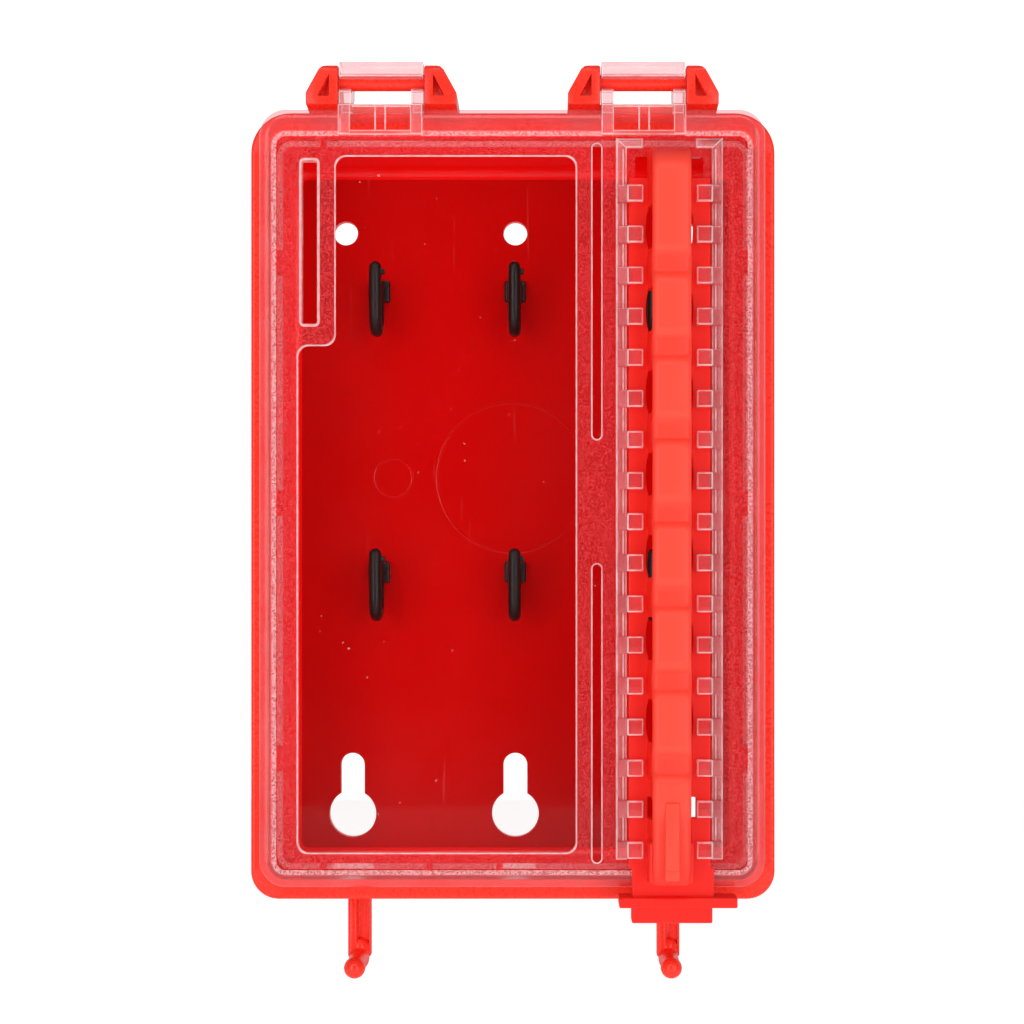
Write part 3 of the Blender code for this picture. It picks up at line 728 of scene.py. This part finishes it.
def key_hook_path():
    """Centre line of the J: out of the pad, down, round the bottom and up to the tip."""
    start = BACK_WALL + 1.7
    down = start + 3.6
    bend = 4.3
    up = down + 2 * bend
    path = [(start, 1.4), (start + 1.2, 1.35), (start + 2.2, 0.9), (start + 3.0, -0.2), (start + 3.45, -1.6)]
    path += [(down, -3.2)] + arc(down + bend, bend - 12.6, bend, 180, 360, 16)
    return path + [(up + 0.1, -6.0), (up + 0.2, -3.0), (up + 0.3, 0.0), (up + 0.35, 3.0), (up + 0.4, 5.2)]


def make_key_hooks():
    path = key_hook_path()
    tip_d, tip_z = path[-1]
    path += [(tip_d, tip_z + 0.7), (tip_d, tip_z + 1.2), (tip_d, tip_z + 1.45)]
    radii = [1.8] * (len(path) - 4) + [1.75, 1.5, 1.0, 0.35]
    for node, (x, z) in KEY_HOOKS.items():
        bar = tube(path, radii)
        pad = soften(block(-3.15, 3.15, BACK_WALL + 0.3, BACK_WALL + 2.8, -3.15, 3.15), 0.6, 3)
        peg = block(-2, 2, 0.3, BACK_WALL + 1, -2, 2)
        lug = soften(block(1.2, 2.8, tip_d - 0.7, tip_d + 0.7, tip_z - 2.3, tip_z - 0.7), 0.35, 2)
        hook = gather(node.replace("key_hook", "hook"), [shifted(bar, x=x, z=z)])
        hook.data.materials.append(MATERIALS["black"])
        carve(hook, [shifted(b, x=x, z=z) for b in (pad, peg, lug)], "UNION")
        finish_mesh(hook, [MATERIALS["black"]])
        stand_for(hook, node, "box")


def make_hang_hooks():
    """A channelled stem, and an elbow into a thick arm that reaches forward to a ball."""
    top = BASE_BOTTOM + BODY_INSET - 0.3
    low = top - 22.4
    bend, ball = 3.4, 2.95
    end = HANG_HOOK_DEPTH + 14.2
    section = [(-3.2, -1.6), (-2.6, -3.0), (2.6, -3.0), (3.2, -1.6), (3.2, 1.4), (2.5, 1.4), (2.5, 0.2)]
    section += [(-0.5, 0.2), (-0.5, 2.2), (-1.0, 2.8), (-2.6, 2.8), (-3.2, 2.2)]
    for node, centre in HANG_HOOKS.items():
        outline = [(centre + x, HANG_HOOK_DEPTH + y) for x, y in section]
        stem = soften(prism_z(outline, low + 0.6, top), 0.3, 2)
        peg = prism_z(circle(centre, HANG_HOOK_DEPTH, 2.0, 32), top - 1, top + 2.6)
        path = [(HANG_HOOK_DEPTH - 1.7, low + bend + 3.0), (HANG_HOOK_DEPTH - 1.3, low + bend + 1.8)]
        path.append((HANG_HOOK_DEPTH - 0.2, low + bend + 0.4))
        path += arc(HANG_HOOK_DEPTH + bend, low + bend, bend, 180, 270, 8)
        path += [(HANG_HOOK_DEPTH + 6.0, low), (end - 5.5, low), (end - 3.2, low)]
        radii = [0.8, 1.4, 2.6] + [2.85] * 9 + [2.75, 2.6, 2.5]
        for angle in range(125, -1, -15):
            path.append((end + ball * math.cos(math.radians(angle)), low))
            radii.append(max(ball * math.sin(math.radians(angle)), 0.05))
        arm = shifted(tube(path, radii, 32), x=centre)
        hook = gather(node.replace("hang_hook", "hanger"), [stem])
        hook.data.materials.append(MATERIALS["base"])
        carve(hook, [arm, peg], "UNION")
        finish_mesh(hook, [MATERIALS["base"]])
        stand_for(hook, node, "box")


# ---------------------------------------------------------------- lid


def lid_ring(inset, depth, radius):
    outline = rounded(-LID_HALF + inset, LID_HALF - inset, LID_BOTTOM + inset, LID_TOP - inset, radius, 14)
    return [(x, -depth, z) for x, z in outline]


def lid_shell():
    """The tray: from the face's inner side down the skirt, and up its outside to the rounded front edge."""
    rings, slots = [], []
    for angle in (90, 60, 30, 0):
        inset = 1.4 * (1 - math.cos(math.radians(angle)))
        depth = LID_FRONT - LID_WALL - 1.4 + 1.4 * math.sin(math.radians(angle))
        rings.append(lid_ring(LID_WALL + inset, depth, LID_RADIUS - LID_WALL - inset))
        slots.append(INNER)
    rings.append(lid_ring(LID_WALL, LID_BACK + 0.2, LID_RADIUS - LID_WALL))
    slots.append(BORDER)
    rings.append(lid_ring(LID_WALL - 0.2, LID_BACK, LID_RADIUS - LID_WALL + 0.2))
    slots.append(BORDER)
    rings.append(lid_ring(0.2, LID_BACK, LID_RADIUS - 0.2))
    slots.append(BORDER)
    rings.append(lid_ring(0.0, LID_BACK + 0.2, LID_RADIUS))
    for step in range(9):
        angle = math.radians(90 * step / 8)
        inset = LID_ROUNDING * (1 - math.cos(angle))
        depth = LID_FRONT - LID_ROUNDING + LID_ROUNDING * math.sin(angle)
        rings.append(lid_ring(inset, depth, LID_RADIUS - inset))
        slots.append(BORDER)
    build = loft(rings, FROST, slots=slots)
    for face in build.faces:
        if len(face.verts) > 4 and face.calc_center_median().y > -(LID_FRONT - 0.5) * MM:
            face.material_index = INNER
    return build


def locating_ring():
    """The rib on the lid's back that drops inside the box's rim."""
    rings = []
    thick, middle = RING_THICKNESS, (LID_FRONT + LID_FRONT - LID_WALL) / 2
    for inset, depth in ((0.0, middle), (0.0, RING_BACK + 0.3), (0.3, RING_BACK), (thick - 0.3, RING_BACK),
                         (thick, RING_BACK + 0.3), (thick, middle)):
        radius = max(4.0 - inset, 1.5)
        half, low, high = RING_HALF - inset, RING_BOTTOM + inset, RING_TOP - inset
        outline = rounded(-half, half, low, high, radius, 8)
        rings.append([(x, -depth, z) for x, z in outline])
    return loft(rings, RING, closed=True, slots=[INNER, RING, RING, RING, INNER, INNER])


def ring_line(grow):
    """The locating ring's outline on the lid's face, where the milky border meets the frosted field."""
    return rounded(-RING_HALF - grow, RING_HALF + grow, RING_BOTTOM - grow, RING_TOP + grow, 4.0 + grow, 10)


def within_ring(x, z, inset=0.0):
    corner_x = max(abs(x) - RING_HALF + 4.0, 0.0)
    corner_z = max(z - RING_TOP + 4.0, RING_BOTTOM + 4.0 - z, 0.0)
    return math.hypot(corner_x, corner_z) < 4.0 - inset


def ring_gaps():
    """Where the locating ring is interrupted: three gaps on each side and small notches above and below."""
    cutters = []
    back, front = RING_BACK - 1, LID_FRONT - LID_WALL - 0.01
    for z in (68.6, 2.1, -68.2):
        for side in (-1, 1):
            x = side * (RING_HALF - RING_THICKNESS / 2)
            cutters.append(block(x - 1.4, x + 1.4, back, front, z - 3.45, z + 3.45))
    for x, z in ((-52.3, RING_BOTTOM), (-23.1, RING_BOTTOM), (-3.6, RING_BOTTOM), (-52.3, RING_TOP)):
        inside = z + math.copysign(RING_THICKNESS / 2, -z)
        cutters.append(block(x - 0.9, x + 0.9, back, front, inside - 1.4, inside + 1.4))
    return cutters


def window_outline(grow):
    """The polished window's outline, moved outwards by grow, with every corner rounded."""
    left, right, low, high = WINDOW
    notch_x, notch_z = WINDOW_NOTCH
    left, right, low, high = left - grow, right + grow, low - grow, high + grow
    corners = [
        (left, low),
        (right, low),
        (right, high),
        (notch_x - grow, high),
        (notch_x - grow, notch_z + grow),
        (left, notch_z + grow),
    ]
    outline = []
    for i, (x, z) in enumerate(corners):
        here = Vector((x, z))
        before = (Vector(corners[i - 1]) - here).normalized()
        after = (Vector(corners[(i + 1) % len(corners)]) - here).normalized()
        centre = here + (before + after) * WINDOW_RADIUS
        for step in range(9):
            turn = math.radians(90 * step / 8)
            point = centre - (after * math.cos(turn) + before * math.sin(turn)) * WINDOW_RADIUS
            outline.append((point.x, point.y))
    return outline


def ridge(outline_at, half, rise, slot=EDGE):
    """A low rounded ridge along an outline on the lid's face."""
    profile = [(half, -0.6), (half, 0.05), (half * 0.5, rise)]
    profile += [(-across, up) for across, up in reversed(profile)]
    rings = [[(x, -LID_FRONT - up, z) for x, z in outline_at(grow)] for grow, up in profile]
    return loft(rings, slot, closed=True)


def key_slot_outline(grow):
    left, right, low, high = KEY_SLOT
    return rounded(left - grow, right + grow, low - grow, high + grow, 0.6 + max(grow, 0.0), 4)


def rail(side):
    """One rail beside the slot, with the short return at its top that leaves the middle free."""
    inner, outer, back = (SLOT_X + side * offset for offset in (RAIL_INNER, RAIL_OUTER, TOOTH_TIP))
    return_low = SLOT_TOP + 2.0
    outline = [
        (outer, RAIL_BOTTOM),
        (outer, RAIL_TOP),
        (back, RAIL_TOP),
        (back, return_low),
        (inner, return_low),
        (inner, RAIL_BOTTOM),
    ]
    build = prism_y(outline, LID_FRONT - 1, RAIL_FRONT, MILKY)
    return soften(build, 0.4, 2, EDGE, lambda p, e: p.y < -LID_FRONT - 0.5)


def rail_lines(side):
    """The fine step that runs along a rail's face, and the mitre line across its upper corner."""
    inner, outer = (SLOT_X + side * offset for offset in (RAIL_INNER, RAIL_OUTER))
    x, low, high = SLOT_X + side * 12.45, RAIL_BOTTOM + 1, RAIL_TOP - 3
    lines = [block(x - 0.2, x + 0.2, RAIL_FRONT - 0.5, RAIL_FRONT + 0.12, low, high, EDGE)]
    mitre = [(outer, RAIL_TOP - 0.2), (outer, RAIL_TOP), (outer - side * 0.2, RAIL_TOP)]
    mitre += [(inner, RAIL_TOP - 2.6), (inner, RAIL_TOP - 2.9)]
    lines.append(prism_y(mitre, RAIL_FRONT - 0.5, RAIL_FRONT + 0.1, EDGE))
    return lines


def tooth(side, z):
    """A milky wall that stands on the rail, and a clear lip with painted highlights on its edges that reaches
    over the plate.
    """
    outer, inner, tip = (SLOT_X + side * offset for offset in (TOOTH_OUTER, RAIL_INNER, TOOTH_TIP))
    left, right = sorted((outer, inner))
    wall = block(left, right, LID_FRONT - 1, LIP_FRONT - 0.25, z - TOOTH_HALF, z + TOOTH_HALF, MILKY)
    left, right = sorted((inner + side * 0.15, tip))
    lip = block(left, right, LIP_BACK, LIP_FRONT, z - TOOTH_HALF + 0.05, z + TOOTH_HALF - 0.05, BORDER)
    soften(wall, 0.3, 2, MILKY, lambda p, e: p.y < -LIP_BACK)
    return [wall, soften(lip, 0.45, 3, EDGE, lambda p, e: p.y < -LIP_BACK - 0.3)]


def bead(low, high):
    outline = arc(BEAD_X, high - BEAD_HALF, BEAD_HALF, 0, 180, 16)
    outline += arc(BEAD_X, low + BEAD_HALF, BEAD_HALF, 180, 360, 16)
    build = prism_y(outline, LID_FRONT - 1, LID_FRONT + 0.7, CLEAR)
    return soften(build, 0.4, 3, EDGE, lambda p, e: p.y < -LID_FRONT - 0.6)


def loop_wall(start, end):
    """Side view of a stretch of the hinge loop, round inside and a rounded square outside: 0 degrees is the
    rod's front, 90 its top and 180 its back."""
    outside = []
    for d, z in arc(0, 0, 1, start, end, 18):
        reach = LOOP_OUTER / (abs(d) ** 5 + abs(z) ** 5) ** 0.2
        outside.append((HINGE_DEPTH + d * reach, HINGE_Z + z * reach))
    return outside + arc(HINGE_DEPTH, HINGE_Z, LOOP_INNER, end, start, 18)


def tab_outline(proud=0.0):
    """Side view of the tab over the lid's top edge; proud moves its front forward."""
    back, front = HINGE_DEPTH + LOOP_INNER, LID_FRONT + 0.5 + proud
    return [
        (back, LID_TOP - 8.4),
        (back, TAB_TOP),
        (HINGE_DEPTH + LOOP_OUTER - 0.3 + proud, TAB_TOP),
        (front, TAB_TOP - 0.8),
        (front, LID_TOP - 7.4),
        (LID_FRONT - 1, LID_TOP - 8.4),
    ]


def post_outline():
    """Side view of the block that joins one arm of the loop, under the rod, to the tab."""
    low, under = LID_TOP - 1.5, HINGE_Z - LOOP_INNER - 0.2
    return [
        (HINGE_DEPTH - 1.6, LID_TOP + 0.6),
        (HINGE_DEPTH - 1.6, under - 1.0),
        (HINGE_DEPTH, under),
        (HINGE_DEPTH + LOOP_OUTER - 0.8, under),
        (HINGE_DEPTH + LOOP_OUTER, under - 0.8),
        (HINGE_DEPTH + LOOP_OUTER, low),
        (HINGE_DEPTH + 1.0, low),
    ]


def hinge_loop(centre):
    """The tab over the lid's top edge with its two clear panels, two posts, the arms behind the rod and the
    bridge over the rod's top."""
    left, right = centre - LOOP_HALF, centre + LOOP_HALF
    pieces = [soften(prism_x(tab_outline(), left, right, INNER), 0.3, 2, EDGE)]
    for start in (left, right - LOOP_ARM):
        end = start + LOOP_ARM
        pieces.append(soften(prism_x(tab_outline(0.3), start, end, MILKY), 0.25, 2, EDGE))
        pieces.append(soften(prism_x(post_outline(), start, end, MILKY), 0.3, 2, EDGE))
        pieces.append(soften(prism_x(loop_wall(120, 278), start, end, MILKY), 0.3, 2, EDGE, None, 50))
    pieces.append(soften(prism_x(loop_wall(6, 155), left, right, MILKY), 0.3, 2, EDGE, None, 50))
    for offset in (-1.3, 1.4):
        pieces.append(prism_x(tab_outline(0.2), centre + offset - 0.18, centre + offset + 0.18, EDGE))
    front = LID_FRONT + 0.75
    bar = block(left + 0.5, right - 0.5, front - 2, front, LID_TOP - 7.6, LID_TOP - 6.3, MILKY)
    pieces.append(soften(bar, 0.25, 2, EDGE))
    return pieces


def inside_window(x, z):
    left, right, low, high = WINDOW
    notch_x, notch_z = WINDOW_NOTCH
    return left < x < right and low < z < high and not (x < notch_x and z > notch_z)


def zone_face(lid):
    """Gives the flat face its materials: polished window, frosted field, the band of painted light over the
    ring and a clear border tinted with painted red light."""
    build = bmesh.new()
    build.from_mesh(lid.data)
    in_front = [face for face in build.faces if face.normal.y < -0.99]
    flat = [face for face in in_front if abs(face.calc_center_median().y + LID_FRONT * MM) < 0.02 * MM]
    made = bmesh.ops.triangulate(build, faces=flat)
    for face in made["faces"]:
        centre = face.calc_center_median() / MM
        if inside_window(centre.x, centre.z):
            face.material_index = CLEAR
        elif within_ring(centre.x, centre.z, RING_THICKNESS):
            face.material_index = FROST
        else:
            face.material_index = RING if within_ring(centre.x, centre.z) else BORDER
    build.to_mesh(lid.data)
    build.free()


def make_lid():
    lid = gather("clear_lid", [lid_shell()])
    for material in LID_MATERIALS:
        lid.data.materials.append(material)
    carve(lid, [locating_ring()], "UNION")
    carve(lid, ring_gaps(), "DIFFERENCE")
    for centre in HINGES.values():
        carve(lid, hinge_loop(centre), "UNION")
    carve(lid, [rail(side) for side in (-1, 1)], "UNION")
    carve(lid, rail_lines(-1) + rail_lines(1), "UNION")
    teeth = []
    for i in range(TEETH):
        for side in (-1, 1):
            teeth += tooth(side, TOOTH_TOP_Z - i * TOOTH_PITCH)
    carve(lid, teeth, "UNION")
    raised = [bead(low, high) for low, high in BEADS]
    raised.append(ridge(window_outline, 0.22, 0.2))
    raised.append(ridge(ring_line, 0.15, 0.04, MILKY))
    raised.append(ridge(lambda grow: ring_line(grow - RING_THICKNESS), 0.15, 0.04, RING))
    raised.append(ridge(lambda grow: key_slot_outline(grow + 0.45), 0.35, 0.25))
    carve(lid, raised, "UNION")
    slot = rounded(SLOT_X - SLOT_HALF, SLOT_X + SLOT_HALF, SLOT_BOTTOM, SLOT_TOP, 1.0, 4)
    openings = [prism_y(slot, LID_FRONT - LID_WALL - 1, LIP_BACK - 0.2, INNER)]
    openings.append(prism_y(key_slot_outline(0.0), LID_FRONT - LID_WALL - 1, LID_FRONT + 5, EDGE))
    carve(lid, openings, "DIFFERENCE")
    zone_face(lid)
    finish_mesh(lid, LID_MATERIALS)
    stand_for(lid, "lid", "lid")


# ---------------------------------------------------------------- slider


def smooth_step(value):
    value = min(max(value, 0.0), 1.0)
    return value * value * (3 - 2 * value)


def from_arch(z):
    """How far the height z lies from the middle of the nearest arch."""
    turn = max(ARCH_TOP_Z - z, 0.0) / ARCH_PITCH
    return max(z - ARCH_TOP_Z, abs(turn - round(turn)) * ARCH_PITCH)


def dip(z):
    """0 on a crest and 1 in the valley between two crests."""
    if not LAST_CREST < z < ARCH_TOP_Z:
        return 0.0
    return min(max((from_arch(z) - 5.9) / 3.0, 0.0), 1.0) ** 1.8


def strip_front(z):
    """Depth of the strip's front at height z: the nose, the crests and valleys, and the slope to the end."""
    nose_start = 88.4
    end_start = LAST_CREST + 0.5
    if z > nose_start:
        share = (z - nose_start) / (NOSE_TIP - nose_start)
        return PLATE_FRONT + 0.8 + (CREST - PLATE_FRONT - 0.8) * (1 - share**2.2) ** 0.75
    if z < end_start:
        share = (end_start - z) / (end_start - END_BOTTOM)
        return CREST - 1.0 * smooth_step((end_start - z) / 5.0) - 1.0 * share - 2.0 * share**8
    return CREST + (VALLEY - CREST) * dip(z)


def strip_section(z):
    """The strip's section at height z: a flared foot on the plate and two rounded front edges."""
    front = strip_front(z)
    half = ARCH_HALF + 0.25 * dip(z)
    flare = (POST_HALF - ARCH_HALF) * (smooth_step((from_arch(z) - 4.8) / 1.2) if z > LAST_CREST else 1.0)
    radius = min(1.7, (front - PLATE_FRONT) * 0.5)
    reach = min(4.5, (front - PLATE_FRONT - radius) * 0.9)
    side = [(half + flare, PLATE_BACK + 0.6)]
    side += [(half + flare * (1 - t) ** 2, PLATE_FRONT + reach * t) for t in (0, 0.2, 0.4, 0.6, 0.8, 1)]
    side += [(half - radius + x, front - radius + d) for x, d in arc(0, 0, radius, 0, 90, 5)]
    outline = [(SLOT_X + x, d) for x, d in side] + [(SLOT_X - x, d) for x, d in reversed(side)]
    return [(x, -d, z) for x, d in outline]


def strip():
    steps = 360
    span = NOSE_TIP - END_BOTTOM
    return loft([strip_section(NOSE_TIP - 0.01 - (span - 0.01) * i / steps) for i in range(steps + 1)])


def arch_opening(low, high):
    """The way through under one arch, from side to side, with its far corners rounded."""
    round_off = 2.6
    outline = [(PLATE_BACK - 2, high), (PLATE_BACK - 2, low)]
    outline += arc(OPENING_ROOF - round_off, low + round_off, round_off, -90, 0, 8)
    outline += arc(OPENING_ROOF - round_off, high - round_off, round_off, 0, 90, 8)
    return prism_x(outline, SLOT_X - 5.7, SLOT_X + 5.7)


def plate_cut(low, high):
    """The lens-shaped cut through the plate under an arch."""
    middle, half = (low + high) / 2, (high - low) / 2
    bulge = OPENING_HALF_X - 5.2
    side = [(5.2 + bulge * x, half * z) for x, z in arc(0, 0, 1, -88, 88, 22)]
    outline = [(SLOT_X + x, middle + z) for x, z in side] + [(SLOT_X - x, middle - z) for x, z in side]
    return prism_y(outline, PLATE_BACK - 2, PLATE_FRONT + 3.0)


def slider_plate():
    """The flat plate between the rails; it steps a little to the right below them."""
    low = -105.2
    corners = [(-PLATE_HALF, PLATE_TOP), (-PLATE_HALF, PLATE_STEP), (-10.1, PLATE_STEP), (-10.1, low)]
    corners += [(12.0, low), (12.0, PLATE_STEP), (PLATE_HALF, PLATE_STEP), (PLATE_HALF, PLATE_TOP)]
    return soften(prism_y([(SLOT_X + x, z) for x, z in corners], PLATE_BACK, PLATE_FRONT), 0.3, 2)


def end_rib():
    """The narrow rib down the strip's lower end, with a shallow step near its foot."""
    left, right, foot = SLOT_X - 1.9, SLOT_X + 1.9, END_BOTTOM + 1.8
    upper = block(left, right, CREST - 6, CREST + 0.5, foot + 2.6, -77.6)
    lower = block(left, right, CREST - 6, CREST + 0.2, foot, foot + 2.9)
    return [soften(upper, 0.5, 3), soften(lower, 0.3, 2)]


def make_slider():
    slider = gather("arched_slider", [slider_plate()])
    slider.data.materials.append(MATERIALS["slider"])
    carve(slider, [strip()], "UNION")
    left, right = SLOT_X - POST_HALF, SLOT_X + POST_HALF
    end_block = block(left, right, PLATE_BACK + 0.6, CREST - 3.8, END_BOTTOM + 0.3, -88.4)
    flange = block(SLOT_X - 13.6, SLOT_X + 18.1, 43.9, 51.9, -107.0, -104.2)
    grip = block(SLOT_X - 10.2, SLOT_X + 11.5, 44.3, 50.5, -111.3, -106.5)
    ends = [soften(end_block, 0.9, 4), soften(flange, 0.4, 3), soften(grip, 0.5, 3)]
    carve(slider, ends + end_rib(), "UNION")
    middles = [ARCH_TOP_Z - i * ARCH_PITCH for i in range(ARCHES)]
    spans = [(middle - OPENING_HALF_Z, middle + OPENING_HALF_Z) for middle in middles]
    window = (-83.0, -77.4)
    openings = [arch_opening(low, high) for low, high in spans + [window]]
    carve(slider, openings, "DIFFERENCE")
    lenses = [plate_cut(low, high) for low, high in spans]
    lenses.append(block(SLOT_X - 5.95, SLOT_X + 7.05, PLATE_BACK - 2, PLATE_FRONT + 3, *window))
    carve(slider, lenses, "DIFFERENCE")
    finish_mesh(slider, [MATERIALS["slider"]])
    stand_for(slider, "lock_slider", "slider")


# ---------------------------------------------------------------- studio


def make_floor():
    low = cad_bounds[0]
    floor = gather("floor", [block(-2500, 2500, -2500, 2500, low.z / MM - 260, low.z / MM - 250)])
    material, tree, output = new_material("pale_floor")
    shader = tree.nodes.new("ShaderNodeBsdfPrincipled")
    shader.inputs["Base Color"].default_value = (0.9, 0.9, 0.9, 1)
    shader.inputs["Roughness"].default_value = 0.8
    shader.inputs["Emission Color"].default_value = (1, 1, 1, 1)
    path = tree.nodes.new("ShaderNodeLightPath")
    mirrored = path.outputs["Is Glossy Ray"]
    tree.links.new(remap(tree, mirrored, 0.0, 1.0, 0.62, 0.05), shader.inputs["Emission Strength"])
    tree.links.new(shader.outputs["BSDF"], output.inputs["Surface"])
    floor.data.materials.append(material)


def make_world():
    """White wherever it is seen, bright behind the box and dim in front of it as a light."""
    world = bpy.data.worlds.new("studio")
    world.use_nodes = True
    tree = world.node_tree
    background = tree.nodes["Background"]
    place = tree.nodes.new("ShaderNodeTexCoord")
    split = tree.nodes.new("ShaderNodeSeparateXYZ")
    path = tree.nodes.new("ShaderNodeLightPath")
    tree.links.new(place.outputs["Generated"], split.inputs["Vector"])
    glow = remap(tree, split.outputs["Y"], -0.6, 0.5, 0.03, 0.7)
    seen = maths(tree, "MULTIPLY", path.outputs["Is Camera Ray"], 1.25)
    tree.links.new(maths(tree, "MAXIMUM", glow, seen), background.inputs["Strength"])
    background.inputs["Color"].default_value = (1, 1, 1, 1)
    bpy.context.scene.world = world


def area_light(name, place, target, width, height, power):
    lamp = bpy.data.lights.new(name, "AREA")
    lamp.shape = "RECTANGLE"
    lamp.size = width
    lamp.size_y = height
    lamp.energy = power
    obj = bpy.data.objects.new(name, lamp)
    obj.location = place
    obj.rotation_euler = (Vector(target) - Vector(place)).to_track_quat("-Z", "Y").to_euler()
    obj.visible_camera = False
    bpy.context.scene.collection.objects.link(obj)


def make_lights():
    centre = (0, -0.03, 0)
    area_light("left_softbox", (-0.62, -1.0, 0.1), centre, 0.5, 0.8, 4.8)
    area_light("right_softbox", (0.62, -1.0, 0.1), centre, 0.5, 0.8, 4.4)
    area_light("top_softbox", (0.0, -1.0, 0.8), centre, 0.9, 0.4, 3.5)
    area_light("low_fill", (0.0, -1.0, -0.75), centre, 0.8, 0.4, 0.6)


def make_camera():
    """On a level with the box's lower middle, with the picture plane parallel to the lid."""
    camera_data = bpy.data.cameras.new("camera")
    camera_data.lens = 62.5
    camera_data.sensor_width = 36.0
    camera_data.shift_x = -0.038
    camera_data.shift_y = 0.076
    camera_data.clip_start = 0.01
    camera = bpy.data.objects.new("camera", camera_data)
    camera.location = (0.0105, -0.5275, -0.02175)
    camera.rotation_euler = (math.radians(90), 0, 0)
    bpy.context.scene.collection.objects.link(camera)
    bpy.context.scene.camera = camera
    bpy.context.scene.view_settings.view_transform = "Standard"


make_base()
make_rods()
make_key_hooks()
make_hang_hooks()
make_lid()
make_slider()
make_floor()
make_world()
make_lights()
make_camera()
